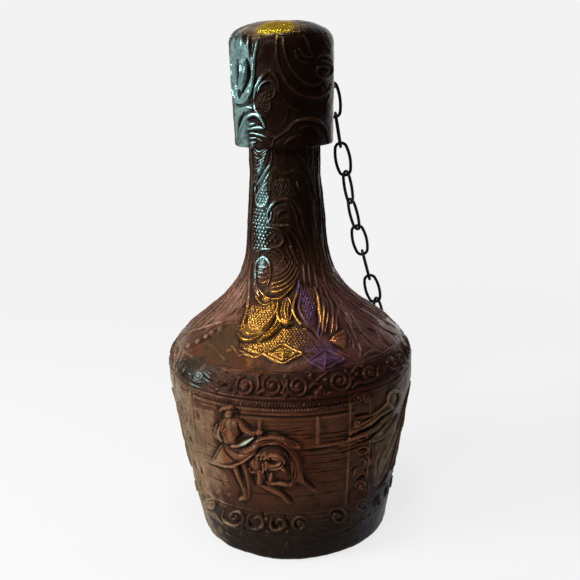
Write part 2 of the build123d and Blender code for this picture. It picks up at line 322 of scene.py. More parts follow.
# Outlines of the body and of the cap as radius and height in mm, the roundings of their inner corners,
# the azimuth that their ornament repeats after, the size of their cells in mm, and the radius it is true at
SKIN_OUTLINE = [(45.4, 0.6), (49.4, 0.6), (65.8, 100.5), (21.7, 135.5), (17.2, 190.3), (17.2, 210.6)]
SKIN_ROUNDINGS = [3.6, 28, 46, 60]
CAP_OUTLINE = [(22.4, 205.0), (24.2, 205.0), (25.6, 257.9), (12.8, 263.3), (0.4, 263.3)]
CAP_ROUNDINGS = [0.9, 8, 34]
HALF_TURN = 180
SKIN_CELL, SKIN_WIDEST = 0.36, 60
CAP_CELL, CAP_WIDEST = 0.33, 25
skin = Skin(rounded(SKIN_OUTLINE, SKIN_ROUNDINGS), HALF_TURN, SKIN_CELL, SKIN_WIDEST)
cap = Skin(rounded(CAP_OUTLINE, CAP_ROUNDINGS), HALF_TURN, CAP_CELL, CAP_WIDEST)
# Ends of a curl's cord and of an even one, the bead in a curl by its cord's width and height, the step in
# degrees between the points of a ring, and the length in mm of the stroke that makes a bead
CURL_ENDS = (0.7, 0.6)
SQUARE_ENDS = (1, 1)
CURL_BEAD = (0.75, 1.1)
RING_STEP = 2.0
BEAD_LENGTH = 0.05


def cord(piece, text, width, height, ends=(0.5, 0.5), cut=False):
    """A cord or groove drawn through pixels of the photograph"""
    piece.ridge(piece.hit(smooth(points(text))), width, height, ends, cut)


def mass(piece, text, height, edge, steep=0.5):
    """A cushion drawn round pixels of the photograph"""
    piece.swell(piece.hit(smooth(points(text), closed=True)), height, edge, steep)


def pebbles(piece, text, pitch, height):
    """Pebbled ground drawn inside pixels of the photograph"""
    piece.pebble(piece.hit(smooth(points(text), closed=True)), pitch, height)


def curl(piece, x, y, size, turns, start, hand, width, height):
    """A curl drawn on the skin, with an eye in its middle"""
    piece.ridge(piece.hit(curled(x, y, size, turns, start, hand)), width, height, CURL_ENDS)
    boss(piece, x, y, width * CURL_BEAD[0], height * CURL_BEAD[1])


def boss(piece, x, y, size, height):
    """A round bead, size mm in radius"""
    spot = piece.hit([[x, y]])
    piece.ridge(np.vstack([spot, spot + (0, BEAD_LENGTH)]), size * 2, height, SQUARE_ENDS)


def ring(piece, level, width, height, low=-182, high=0, cut=False):
    """A level cord or groove round the skin between two azimuths"""
    turn = np.arange(low, high + 1, RING_STEP)
    path = np.stack([turn, np.full(len(turn), piece.row_at(level))], axis=1)
    piece.ridge(path, width, height, SQUARE_ENDS, cut)


def dentils(piece, level, low, high, pitch, length, width, height, lean):
    """Short upright strokes side by side, each leaning over by that many degrees of azimuth"""
    row = piece.row_at(level)
    for azimuth in np.arange(low, high, pitch):
        stroke = np.array([[azimuth, row - length / 2], [azimuth + lean, row + length / 2]])
        piece.ridge(stroke, width, height, SQUARE_ENDS)


def draw(tool, piece, rows, *rest, **options):
    """Draws every row of a list on a skin with one of these tools; a row is its values, or a text alone"""
    for row in rows:
        tool(piece, *(row if isinstance(row, tuple) else (row,)), *rest, **options)


# Each row of the lists below is a place in pixels of the photograph and then sizes in mm:
# cords and grooves have their width and height, cushions their height and edge, pebbled ground its pitch and
# height, beads their radius and height, and curls their size in pixels, turns, start, hand, width and height.
# Rings have their level, width, height, first and last azimuth, and whether they are cut in.
# Where all rows of a list have the same last values, those are named once beside it


# Ornament of the cap
CAP_MASSES = [
    ("256,93 261,81 266,75 271,73 276,78 278,90 270,88 262,92", 0.5, 2.5),
    ("276,145 284,136 296,125 312,121 322,128 326,144 300,146", 0.5, 3),
    ("240,139 241,128 245,118 253,114 261,119 264,128 255,133 247,136", 0.5, 2.5),
    ("303,98 290,84 283,70 280,50 284,40 290,64 301,78 314,88 328,84 327,93", 0.35, 2),
    ("232,64 238,58 245,60 248,70 247,82 241,90 238,99 234,96", 0.4, 2.0),
    ("254,40 255,60 254,80 250,92 243,99 247,88 251,74 250,56", 0.35, 1.6),
]
draw(mass, cap, CAP_MASSES)
CAP_PEBBLES = [
    ("258,110 258,100 262,94 268,91 271,104 269,115 262,117", 1.2, 0.4),
    ("256,30.5 258,26 280,22.5 306,25 312,30.5 300,31.5 270,31.5", 1.7, 0.3),
]
draw(pebbles, cap, CAP_PEBBLES)
CAP_CORDS = [
    ("261,34 257.5,43 255.5,54 254,66 253,80 251,91 246,99 240,103 235,101", 1.7, 1.0),
    ("234,62 238,58 242,58.5 245,64 246,73 243,82 238,87.5 235,93", 1.4, 1.0),
    ("232.5,64 233,80 233.5,92 237,100 243,98 248,92", 1.5, 0.9),
    ("240.5,66 241.5,75 239,83 236,88", 1.7, 0.7),
    ("248,37 248,46 249,55", 1.5, 0.4),
    ("241,37 240,46 239,54", 1.4, 0.3),
    ("236,112 241,109 248,107 254,109", 1.9, 0.9),
    ("240,141 241,131 244,122 249,116 255,114 261,118 265,127", 2.0, 1.1),
    ("249,129 257,127.5 264,128.5", 1.8, 1.1),
    ("250,124.5 256,123", 1.6, 0.8),
    ("250,133 258,134 266,137 272,142", 1.5, 0.9),
    ("250,138 257,138 264,142", 1.4, 0.9),
    ("250,143 256,142", 1.3, 0.8),
    ("254,99 256,89 260,80 265,74 270,71 275,75 278,82 279,91", 2.0, 1.3),
    ("258,91 262,84 269,81 275,84 277,91", 1.4, 1.0),
    ("275,88 275,94 272,98", 1.5, 1.1),
    ("254,99 255,107 259,114 266,118", 1.3, 0.7),
    ("269,91 271,103 269,114", 1.0, 0.5),
    ("277,35 277,50 278,62 282,73 288,84 296,92 306,97 318,97 326,92 331,84", 1.9, 1.0),
    ("283,38 285,52 290,66 298,77 307,84 316,85 321,81 321,75", 1.5, 0.9),
    ("299,49 302,54 307,57 312,56", 1.3, 0.9),
    ("295,51 297,58 303,62 310,61", 1.4, 0.9),
    ("303,35 307,42 309,50 313,56", 1.4, 0.8),
    ("321,36 325,43 330,50", 1.4, 0.8),
    ("317,58 322,55 328,57 332,63", 1.4, 1.0),
    ("320,86 324,93", 1.1, 0.7),
    ("330,94 326,104 325,115", 1.2, 0.7),
    ("272,147 275,139 281,135 288,130 294,123 303,120 312,119 320,122 325,129 328,143", 2.0, 1.2),
    ("267,133 272,137 277,137", 1.3, 0.8),
    ("299,129 308,125 316,129 319,140", 1.3, 0.5),
    ("284,145 291,138 300,135", 1.2, 0.5),
    ("284,100 292,108 303,113", 1.3, 0.4),
    ("288,110 287,118 282,126", 1.1, 0.35),
]
draw(cord, cap, CAP_CORDS)
CAP_GROOVES = [
    ("238.3,60 238,70 238,80 237.5,87", 3.4, 2.2),
    ("246.8,60 248.8,68 248.5,77 245,86 240.5,94", 2.9, 2.3),
    ("239,90 238.7,97.5", 3.4, 2.1),
    ("249.6,37 249.6,47 249.8,57", 1.5, 1.2),
    ("244,112 239.5,121 238.5,133 239,142", 2.6, 1.7),
    ("257,46 256,60 255.5,78 253.5,92 248,100.5 241,106", 1.2, 0.5),
    ("251,38 251,50", 1.6, 0.5),
    ("238,141 238.5,127 242,117 248,112", 1.9, 1.0),
    ("249,120 253,119.5 258,121", 3.0, 1.0),
    ("250,127 256,125.8", 1.2, 0.7),
    ("262,87 268,84.5 273,88", 3.2, 1.0),
    ("236,105 242,106 251,103", 1.8, 0.7),
    ("262,80 268,77.5 273,80", 1.3, 0.5),
]
draw(cord, cap, CAP_GROOVES, cut=True)
CAP_CURLS = [(323, 71, 11, 1.6, 100, -1, 1.6, 1.0)]
draw(curl, cap, CAP_CURLS)
CROWN_BEAD_LINE = 32.2
CROWN_BEADS = [(x, CROWN_BEAD_LINE) for x in np.arange(259, 302, 3.1)]
CROWN_BEAD = (0.55, 0.5)
draw(boss, cap, CROWN_BEADS, *CROWN_BEAD)

# Ornament of the neck: scaled strip, pointed leaves and loops
NECK_PEBBLES = [
    ("257,197 262,188 267,184 268,204 261,206", 1.6, 0.6),
    ("255,209 266,213 269,240 265,250 254,247", 2.0, 0.8),
    ("275,182 290,180 296,195 280,198", 1.3, 0.3),
]
draw(pebbles, skin, NECK_PEBBLES)
NECK_MASSES = [
    ("270,224 270,211 277,202 286,200 295,203 299,215 294,225 280,225", 0.45, 2),
    ("258,197 262,188 267,183 269,195 266,205 260,206", 0.3, 1.2),
    ("304,214 306,180 312,195 320,240 326,262 312,262 308,240", 0.4, 2.5),
]
draw(mass, skin, NECK_MASSES)
NECK_CORDS = [
    ("271,149 272,158 270,165 264,174 258,183 256,190 257,198", 1.6, 0.9),
    ("270,172 266,180 262,188", 1.2, 0.7),
    ("268,182 262,189 257,199 260,206 266,205 269,196", 1.3, 1.0),
    ("267,208 272,212 271,219 267,224 269,231", 1.2, 0.8),
    ("268,252 274,247 280,250 284,256 282,262", 1.3, 0.9),
    ("273,238 279,246 285,251", 1.1, 0.7),
    ("297,153 303,160 307,170", 1.2, 0.5),
    ("275,168 284,174 296,170 304,174 308,186", 1.3, 0.4),
    ("305,164 310,176 314,192 317,205", 1.3, 0.6),
    ("297,182 299,190", 1.3, 0.8),
    ("303,184 304,200", 1.1, 0.4),
    ("317,150 318,158", 1.5, 0.7),
    ("270,225 268,215 271,207 277,201 285,199 293,201 299,209 302,221 306,234", 2.2, 1.3),
    ("278,217 280,212 284,211", 1.7, 1.1),
    ("290,202 295,212 298,224 303,240 308,258", 1.3, 0.7),
    ("270,224 278,226 288,226 296,229 303,238", 1.6, 1.0),
    ("267,227 274,228 281,232 284,239 281,245 274,248 266,249", 1.9, 1.2),
    ("282,228 288,238 292,250 298,264", 1.5, 0.9),
    ("288,226 295,237 301,249 305,264", 1.4, 0.8),
    ("286,240 288,252 293,264", 1.1, 0.5),
    ("303,214 306,230 309,246 311,264", 1.4, 0.6),
    ("311,222 314,244 318,264", 1.2, 0.5),
    ("318,226 321,246 326,264", 1.3, 0.6),
    ("267,250 274,252 282,258 288,266", 1.4, 0.8),
    ("272,247 281,252 290,262", 1.2, 0.7),
    ("262,245 260,252 258,260", 1.2, 0.6),
]
draw(cord, skin, NECK_CORDS)
# Each plume lies in a row of its own: its corners' x, their drop from the row, and their share of its lean
PLUME_ROWS = np.arange(150, 182, 3.4)
PLUME_LEAN = 0.25
PLUME = [(254.5, -3, 0), (260, 1.5, -0.5), (269, -3.5, -1.4)]
PLUME_CORD = (1.2, 0.8, (0.7, 0.7))
for y in PLUME_ROWS:
    lean = (y - PLUME_ROWS[0]) * PLUME_LEAN
    plume = np.array([[x + lean * share, y + drop] for x, drop, share in PLUME])
    skin.ridge(skin.hit(smooth(plume)), *PLUME_CORD)
NECK_GROOVES = [
    ("290,233 294,240 297,250", 2.4, 0.8),
    ("272,208 278,204 286,203 292,206", 1.4, 0.5),
    ("271,148 269,160 262,174 255,186", 1.2, 0.5),
    ("276,229 284,236 290,246", 1.6, 0.6),
    ("280,217 284,214 288,216", 2.4, 0.6),
]
draw(cord, skin, NECK_GROOVES, cut=True)
LOOP_BEADS = [(271, 233), (275, 236), (276, 241), (271, 241), (268, 237)]
SMALL_BEAD = (0.9, 0.7)
draw(boss, skin, LOOP_BEADS, *SMALL_BEAD)

# Ornament of the shoulder: nested tongues, a lobed leaf on each side, pebbled ground and hanging feathers
SHOULDER_MASSES = [
    ("250,290 255,300 262,304 277,301 279,312 276,322 268,331 258,337 245,338 240,330 246,312", 0.8, 4),
    ("297,284 303,285 314,287 319,300 319,318 312,327 300,323 294,308", 0.7, 4),
    ("283,301 287,297 291,302 292,314 290,322 284,321 281,313", 0.8, 2),
    ("320,290 326,300 328,312 326,330 321,336 320,320 319,305", 0.6, 2.5),
    ("329,300 336,310 337,330 333,338 329,326", 0.5, 2.5),
    ("330,341 336,333 345,330 347,338 344,348 337,344", 0.8, 2),
    ("261,298 265,304 270,302 272,298 266,296", 0.7, 1.2),
    ("257,262 264,258 271,263 271,278 266,287 259,284", 0.5, 2.0),
]
draw(mass, skin, SHOULDER_MASSES)
SHOULDER_PEBBLES = [
    ("250,309 258,305 266,306 273,308 272,318 263,328 251,330 249,320", 1.5, 0.6),
    ("243,316 247,309 246,327 241,329", 1.4, 0.5),
    ("216,334 226,328 238,322 240,335 236,346 222,352", 1.5, 0.3),
    ("303,289 312,289 316,302 314,317 308,319 302,308 301,297", 1.5, 0.6),
    ("259,266 262,260 266,260 269,266 269,281 260,281", 1.2, 0.5),
    ("241,344 262,343 276,337 283,329 294,327 303,332 312,342 319,352 303,352 284,343 266,351"
     " 250,352", 1.5, 0.65),
]
draw(pebbles, skin, SHOULDER_PEBBLES)
SHOULDER_CORDS = [
    ("257,286 256,272 258,262 264,257 270,263 271,276 268,286", 1.5, 0.9),
    ("258,266 264,268 270,265", 1.2, 0.7),
    ("257,271 264,273 271,270", 1.2, 0.7),
    ("257,276 264,278 271,275", 1.2, 0.7),
    ("258,281 264,283 271,280", 1.2, 0.7),
    ("272,276 280,273 288,266 291,256", 1.1, 0.7),
    ("272,280 281,277 289,270 293,260", 1.1, 0.7),
    ("272,284 282,281 290,274 295,264", 1.2, 0.8),
    ("272,288 283,285 292,278 297,268", 1.2, 0.8),
    ("272,293 284,289 294,281 299,272", 1.4, 0.9),
    ("258,287 262,293 268,298 275,299 283,296 290,290 295,283", 1.7, 1.0),
    ("255,282 256,290 260,297", 1.4, 0.9),
    ("271,291 277,292 282,289", 1.5, 0.8),
    ("253,262 251,275 250,288 249.5,300 247.5,312 245,322 241,331", 1.7, 1.1),
    ("254,290 257,298 261,303 267,305 273,302", 1.3, 0.8),
    ("238,333 243,339 251,340.5 259,337", 1.9, 1.3),
    ("244,331 250,335 257,334", 1.4, 0.8),
    ("262,331.5 268,325 273,318 277,310 278,301", 1.6, 1.2),
    ("264,336 271,330 276,323 279,315", 1.5, 1.1),
    ("262,338.5 270,335 277,329 281,322", 1.6, 1.2),
    ("271,299 274,305 274,312", 1.4, 0.9),
    ("283,301 281,311 282,319 287,322 291,318 292,309 290,301 287,297 283,301", 1.2, 0.9),
    ("286,302 284.5,310 286,318", 1.3, 0.7),
    ("288.5,303 288,311 288,317", 1.2, 0.6),
    ("279,303 277.5,313 280,321 286,324 293,322", 1.6, 1.1),
    ("299,281 297.5,292 294.5,301 293,309 295,317 301,325", 2.0, 1.5),
    ("301,284 300,297 299,308 302,317 308,324", 1.3, 0.9),
    ("303,329 308,330.5", 1.5, 0.9),
    ("314,287 317,297 318.5,309 320,320 318.5,330 318,336", 1.9, 1.4),
    ("320,288 322,300 323,312 322.5,324 321.5,335", 1.5, 0.9),
    ("326,298 328,308 327,320 325,332", 1.3, 0.8),
    ("324,297 325.5,308", 1.8, 0.6),
    ("330,300 332,312 332,326 330,336", 1.3, 0.8),
    ("337,309 336.5,320 336,331", 1.4, 0.9),
    ("330,341 334,338 340,334 345,330", 1.6, 1.1),
    ("331,341 337,344 344,348", 1.6, 1.1),
    ("334,339 339,340 344,338", 1.4, 0.9),
    ("320,262 323,275 327,287 334,299 343,311 351,322", 1.6, 0.7),
    ("324,266 330,279 341,291 355,303", 1.5, 0.6),
    ("329,274 345,288 360,300 376,315", 1.4, 0.4),
    ("333,272 348,284 364,296", 1.2, 0.35),
    ("312,262 315,276 317,288", 1.4, 0.7),
    ("308,262 309,274 311,286", 1.2, 0.7),
    ("303,264 304,274 305,286", 1.2, 0.6),
    ("338,297 345,313 349,330", 1.4, 0.5),
    ("344,306 351,320 354,334", 1.2, 0.5),
    ("350,312 358,326 364,340", 1.5, 0.5),
    ("366,318 376,330 384,344", 1.5, 0.5),
    ("247,262 242,276 233,288 222,299", 1.6, 0.5),
    ("250,272 246,285 239,297 230,308 218,318", 1.5, 0.5),
    ("240,276 226,294 212,308 198,320", 1.4, 0.4),
    ("232,290 222,306 210,320", 1.3, 0.35),
    ("246,290 240,306 232,320", 1.3, 0.4),
    ("243,268 232,284 220,296", 1.1, 0.3),
    ("180,352 192,343 206,335 222,325 236,322", 1.2, 0.35),
    ("206,342 216,349 226,360", 1.2, 0.35),
    ("224,334 232,345 240,356", 1.3, 0.35),
    ("240,355 245,354 250,356", 1.6, 0.6),
    ("241,343 252,350 262,354", 1.2, 0.6),
    ("327,278 338,292 352,303 364,308", 1.2, 0.7),
    ("333,292 343,305 350,316 355,328", 1.3, 0.8),
    ("336,290 348,303 360,313 373,322", 1.2, 0.7),
    ("340,305 348,318 352,330 350,342", 1.3, 0.8),
    ("345,318 352,330 357,340", 1.2, 0.7),
    ("350,318 361,330 373,342 384,350", 1.4, 0.7),
    ("355,312 367,322 380,334 392,345", 1.3, 0.6),
    ("340,284 352,295 364,305 377,314 388,325", 1.2, 0.6),
    ("328,282 334,295 338,308 340,322", 1.2, 0.8),
    ("323,285 329,299 333,313", 1.2, 0.7),
    ("360,336 368,344 378,352", 1.1, 0.5),
    ("347,330 352,339 354,348", 1.1, 0.7),
    ("358,342 361,350 360,357", 1.2, 0.5),
    ("184,334 198,329.5 210,325.5 222,322", 1.3, 0.8),
    ("251,266 246,280 238,292 227,304", 1.1, 0.5),
    ("249,284 244,296 236,306 226,314", 1.2, 0.5),
    ("248,296 243,305 236,313", 1.1, 0.4),
    ("237,284 224,298 208,311 194,321", 1.1, 0.4),
    ("256,281 257.5,287 259,293", 1.4, 1.0),
    ("250.7,293 248.5,302 246.5,311", 1.5, 1.1),
]
draw(cord, skin, SHOULDER_CORDS)
SHOULDER_GROOVES = [
    ("261,341.5 271,338 279,331 284,326", 2.2, 0.9),
    ("282,325 287,328 294,325", 2.2, 1.0),
    ("237,335 242,342 252,343", 1.5, 0.6),
    ("303,327 312,331 318,339", 1.6, 0.7),
    ("266,333 272,326 276,318", 1.3, 0.8),
    ("296,300 295.5,308 298,316 303,322", 1.6, 0.9),
    ("271,296.5 279,297 287,292", 1.6, 0.7),
    ("292,290 288,295 285,298", 2.2, 0.7),
    ("334,345 340,347.5 344,350", 1.4, 0.8),
    ("280,302 279.5,312 281.5,319", 1.0, 0.7),
    ("354,303 362,306 371,310", 1.3, 1.0),
    ("361,311 369,314.5 377,319.5", 1.3, 1.0),
    ("364,318 371,323.5", 1.2, 0.9),
    ("367,328 374,331 379,337", 1.3, 1.0),
    ("338,296 346,308 352,320", 1.1, 0.8),
    ("346,304 355,315 364,325 374,336", 1.1, 0.7),
    ("352,322 362,334 372,344", 1.2, 0.7),
    ("331,287 337,300 341,315", 1.1, 0.8),
    ("347,323 351,334 352,344", 1.1, 0.8),
    ("334,284 345,296 356,305", 1.0, 0.6),
    ("233,291 226,299 218,306", 1.1, 0.6),
    ("229,302 221,308 214,312", 1.0, 0.5),
    ("247,272 243,281 238,288", 1.0, 0.5),
    ("243,290 236,300 229,307", 1.0, 0.4),
    ("241,305 233,312 226,317", 1.0, 0.4),
    ("238,309 244,306 246,302", 1.0, 0.5),
    ("376,312 380,315.5 383,320", 1.3, 1.0),
    ("386,330.5 390,332.3 394,334.5", 1.3, 0.9),
    ("383,340 387,343.5 390.5,347.5", 1.2, 0.8),
    ("353,309 360,315 367,319", 1.2, 0.8),
    ("371,331 377,338 382,345", 1.1, 0.7),
]
draw(cord, skin, SHOULDER_GROOVES, cut=True)
SHOULDER_BOSSES = [(189, 346), (198, 341), (206, 336.5), (212, 332.5), (221, 328.5)]
SHOULDER_BOSS = (1.8, 1.35)
draw(boss, skin, SHOULDER_BOSSES, *SHOULDER_BOSS)
LEAF_BEADS = [(266, 305), (258, 310), (270, 311), (262, 317), (254, 320), (308, 292), (309, 304), (312, 313)]
draw(boss, skin, LEAF_BEADS, *SMALL_BEAD)

# Lozenges with four-pointed stars
LOZENGE_CORDS = [
    ("263,354 272,349.5 283,345 293,349.5 302,354 293,358.5 283,363.5 272,359 263,354", 1.5, 1.0),
    ("269,354 276,351 283,348.5 290,351 297,354", 0.9, 0.5),
    ("269,354 276,357 283,360.5 290,357 297,354", 0.9, 0.5),
    ("270,354 283,354 296,354", 1.0, 0.8),
    ("283,348 283.5,354 283,360", 1.2, 0.9),
    ("309,361 318,354.5 326,350.5 335,354 344,359 335,364.5 325,369 316,365 309,361", 1.4, 0.9),
    ("327,350 337,354 347,359.5", 1.0, 0.7),
    ("329,348 339,352 349,357", 0.9, 0.6),
    ("315,361 325,360 338,359.5", 0.9, 0.6),
    ("325,353 325.5,360 324,367", 1.0, 0.7),
    ("302,354 309,351 326,349", 1.1, 0.5),
    ("302,354 310,362", 1.1, 0.5),
    ("263,354 255,357 248,354 240,350", 1.2, 0.6),
]
LOZENGE_ENDS = (0.8, 0.8)
draw(cord, skin, LOZENGE_CORDS, LOZENGE_ENDS)
LOZENGES = [
    "264,354 272,350 283,346 293,350 301,354 293,358 283,362 272,358.5",
    "311,361 318,355 326,351.5 343,359 335,363.5 325,368",
]
LOZENGE = (0.9, 3.0, 0.8)
draw(mass, skin, LOZENGES, *LOZENGE)
LOZENGE_GROOVES = ["271,352 278,352", "288,352 295,352.5", "277,356.5 281,358", "286,358 290,356.5"]
LOZENGE_GROOVE = (1.3, 0.4)
draw(cord, skin, LOZENGE_GROOVES, *LOZENGE_GROOVE, cut=True)

# Scroll band: opposed curls with leaves and beads between them
BAND_RINGS = [(105.6, 1.5, 0.55), (94.6, 1.9, 0.75), (92.6, 0.9, 0.3)]
draw(ring, skin, BAND_RINGS)
BAND_CURLS = [
    (246, 386, 10, 1.75, 100, 1),
    (273, 385.5, 10, 1.8, 120, 1),
    (298, 386, 11.5, 1.9, 150, 1),
    (340, 381, 11.5, 1.8, 60, -1),
    (370, 373, 8.5, 1.6, 30, -1),
    (392, 363, 8, 1.6, 60, -1),
    (320, 393, 5.5, 1.4, 80, -1),
]
BAND_CURL = (2.1, 1.05)
draw(curl, skin, BAND_CURLS, *BAND_CURL)
END_CURLS = [(199, 375.5, 4.6, 1.5, 200, 1, 1.1, 0.8)]
draw(curl, skin, END_CURLS)
BAND_CORDS = [
    ("204,372 207,374.5 209.5,377 213,379", 1.2, 0.9),
    ("203.5,377.5 207,380 211,381.5 215,384.5", 1.3, 0.8),
    ("211,373.5 215,375.5 218,380 220.5,385.5", 1.5, 1.0),
    ("206,370.8 209.5,372 211.5,375", 1.1, 0.7),
    ("207,382.5 210,384.5 213.5,387.5", 1.1, 0.6),
    ("216,386 218,388.5 221,391", 1.3, 0.6),
    ("190,377 194,380 199,382 204,381", 1.0, 0.5),
    ("183.5,368.5 186,370 188.5,369.5", 1.1, 0.4),
    ("188,372 190.5,374.5 191,378", 1.0, 0.4),
    ("221,374 225,380 229,386", 1.4, 0.8),
    ("225,372 229,379 232,385", 1.4, 0.8),
    ("229,371 232,378 234,383", 1.3, 0.7),
    ("234,379 238,377 240,374", 1.5, 0.8),
    ("253,373 258,379 259,386 256,392", 1.6, 0.8),
    ("262,391 266,395 272,396 279,393", 1.6, 0.8),
    ("281,380 285,386 284,391", 1.4, 0.7),
    ("310,378 316,381 321,377 327,373", 1.6, 0.9),
    ("309,392 311,386 317,384 323,386", 1.7, 0.9),
    ("324,397 330,393 338,394 347,391", 1.6, 0.9),
    ("351,374 356,368 363,366", 1.6, 0.9),
    ("352,388 358,383 365,382 374,381", 1.5, 0.8),
    ("362,357 369,352 378,351 387,354", 1.5, 0.7),
    ("378,366 382,372 384,379", 1.4, 0.7),
    ("386,378 393,374 399,367 401,357", 1.5, 0.7),
    ("388,386 396,380 402,371 405,361", 1.4, 0.6),
]
draw(cord, skin, BAND_CORDS)
BAND_BEADS = [
    (259, 375.5), (262, 372.5), (286, 376.5), (259, 394), (263, 391.5), (286, 395.5), (283, 392),
    (223, 384), (230, 388.5), (235, 393.5), (239, 378), (311, 376), (326, 380), (311, 399), (353, 379),
    (357, 374), (380, 376), (384, 368), (226, 371), (217, 390),
]
BAND_BEAD = (1.25, 0.9)
draw(boss, skin, BAND_BEADS, *BAND_BEAD)
BAND_GROOVES = [
    "203,374.5 205.5,376.5 208,379", "209,379.5 213,381.5", "222,386 228,385", "238,389 242,393",
    "191,376 194,379",
]
BAND_GROOVE = (1.4, 0.6)
draw(cord, skin, BAND_GROOVES, *BAND_GROOVE, cut=True)

# Scene panel: a cornice of short strokes and beads, rails, posts and a barrier
# Each row of the cornice: level, first and last azimuth, pitch, length, width, height and lean
CORNICE_ROWS = [
    (91.4, -150, -52, 1.35, 1.1, 0.75, 0.75, 0.6),
    (89.0, -138, -62, 1.35, 0.5, 0.9, 0.85, -0.35),
]
draw(dentils, skin, CORNICE_ROWS)
PANEL_RINGS = [
    (90.1, 0.8, 0.25, -150, -52, True),
    (87.0, 1.0, 0.4, -118, -62),
    (84.2, 1.0, 0.4, -118, -62),
    (85.6, 1.2, 0.35, -118, -62, True),
]
draw(ring, skin, PANEL_RINGS)
PANEL_CORDS = [
    ("260,420 260,430", 2.0, 0.6),
    ("318,418 318,443", 2.0, 0.6),
    ("298,449 312,448 330,445 349,441", 1.4, 0.6),
    ("300,452 330,448 348,445", 0.9, 0.3),
    ("262,424 290,424 316,423", 0.8, 0.25),
    ("262,428 290,429 316,428", 0.8, 0.2),
    ("320,430 349,426", 0.8, 0.2),
    ("190,389 192.5,410 195.5,435 198,452 200.5,465 203.5,480 207,493", 1.4, 0.75),
    ("193.3,390 195.3,408 197.8,432 200,450", 0.9, 0.4),
    ("201.3,411.7 202.3,424 204,438 205.8,449.4", 1.0, 0.4),
    ("191,401.7 203,404 216,408", 1.0, 0.35),
    ("192,408 203,410 215,413", 1.0, 0.38),
    ("193.5,420.5 197,421.2 201,423", 0.9, 0.3),
    ("203.5,427 209,427.2 215,428", 0.9, 0.25),
    ("195.5,446 200,446.7 206,449.5", 1.0, 0.35),
    ("198,449.5 206,452.5 213.5,455.5", 1.0, 0.3),
    ("203.5,460 208,461 213,462.5", 0.9, 0.35),
    ("350,395 350,420 349,450 347,480 345,503", 1.3, 0.7),
    ("370,397 370,430 368,460 364,493", 1.3, 0.6),
    ("373,398 373,430 371,460 367,492", 0.9, 0.4),
]
draw(cord, skin, PANEL_CORDS, SQUARE_ENDS)
LEAF_STRIP_CORDS = [
    ("183,402 187,412 185,424 190,434", 1.5, 0.8),
    ("190,434 189,446 194,456 194,468", 1.5, 0.8),
    ("195,466 199,476 200,486 205,496", 1.5, 0.8),
    ("180,400 183,416 187,432 191,450 195,468 199,484", 1.0, 0.5),
    ("188,404 190,414 190,426", 1.1, 0.5),
    ("193,438 194,450 198,462", 1.1, 0.5),
]
draw(cord, skin, LEAF_STRIP_CORDS)
STRIP_PITS = [
    ("182,407.5 182.5,410.5", 1.8, 0.9),
    ("185.7,408.5 186.2,412", 1.6, 0.9),
    ("185,416 187.5,421", 2.2, 1.2),
    ("185.2,425 185.8,428", 1.8, 0.9),
    ("188.3,431.5 191,436", 2.0, 1.1),
    ("190.7,438.5 192.6,443.5", 2.0, 1.2),
    ("190,448.5 190.8,451", 1.6, 0.8),
    ("195.5,462 196.2,467", 1.6, 0.9),
    ("199.6,464.5 201,468.5 202,473", 2.6, 1.5),
    ("201.8,478.5 203.3,482.5 204.8,486.5", 2.6, 1.5),
    ("207.8,500 210,503.5", 1.8, 0.9),
    ("351,436 357,434", 1.5, 0.7),
    ("352,470 356,468", 1.5, 0.7),
]
draw(cord, skin, STRIP_PITS, SQUARE_ENDS, cut=True)
STRIP_CURLS = [
    (367, 398, 4.5, 1.6, 90, 1), (358, 398, 5.5, 1.2, 60, 1), (360.5, 485, 5.5, 1.5, 200, -1),
    (357, 423, 3.5, 1.2, 270, -1),
]
STRIP_CURL = (1.4, 1.1)
draw(curl, skin, STRIP_CURLS, *STRIP_CURL)
BRANCH_CORDS = [
    ("353,419 362,416.5 372,414 381,408 387,401 389,394 393,391 398,393", 1.8, 1.0),
    ("349,432 358,428.5 368,423 377,416 386,410 393,406", 2.0, 1.3),
    ("352,427 361,423 370,418 379,411.5", 1.3, 1.0),
    ("347,440 356,436 366,431.5 376,426 384,419.5 392,413.5", 2.0, 1.3),
    ("357,437.5 361,434.8 365.5,434.5 366,437 362,439.5 357.5,439.5 357,437.5", 1.0, 1.5),
    ("338,445 350,444 358,442 366,438.5 373,436 380,430.5 386,424 391,418", 1.8, 1.2),
    ("336,451 346,449.5 356,446 366,442 374,439", 1.4, 0.9),
    ("372,441 381,438 387,431.7 392.8,421.7 397,414", 1.6, 1.1),
    ("388.5,405 387,399 389.5,393 394,390.5 398.5,392.5 399,398 396.5,404 392,408.5 388.5,405", 1.6, 1.2),
    ("357,450.5 361,447.5 366,446.5 368,449 365,453 360,454.5 357,450.5", 1.2, 1.1),
    ("366,455 369,459 369,465", 1.3, 1.0),
    ("353,477 355,470 359,467.5", 1.3, 1.0),
    ("357,462 361,459 365,461 364,466", 1.1, 0.9),
    ("378,463 379,454 384,445 390,434", 1.3, 0.9),
    ("375,470 375,460 379,449 384,440", 1.1, 0.7),
    ("384,458 389,446 394,432", 1.3, 0.9),
    ("379,480 384,470 390,455 394,443", 1.2, 0.7),
    ("377,489 383,482 388,472", 1.2, 0.8),
]
draw(cord, skin, BRANCH_CORDS)
BRANCH_MASSES = [
    ("373,446 382,440 389,431 395,420 395,436 391,452 386,468 380,482 373,486 371,466", 0.7, 3),
    ("349,430 362,417 375,413 386,402 392,406 384,420 372,432 356,441 349,441", 0.5, 2),
]
draw(mass, skin, BRANCH_MASSES)
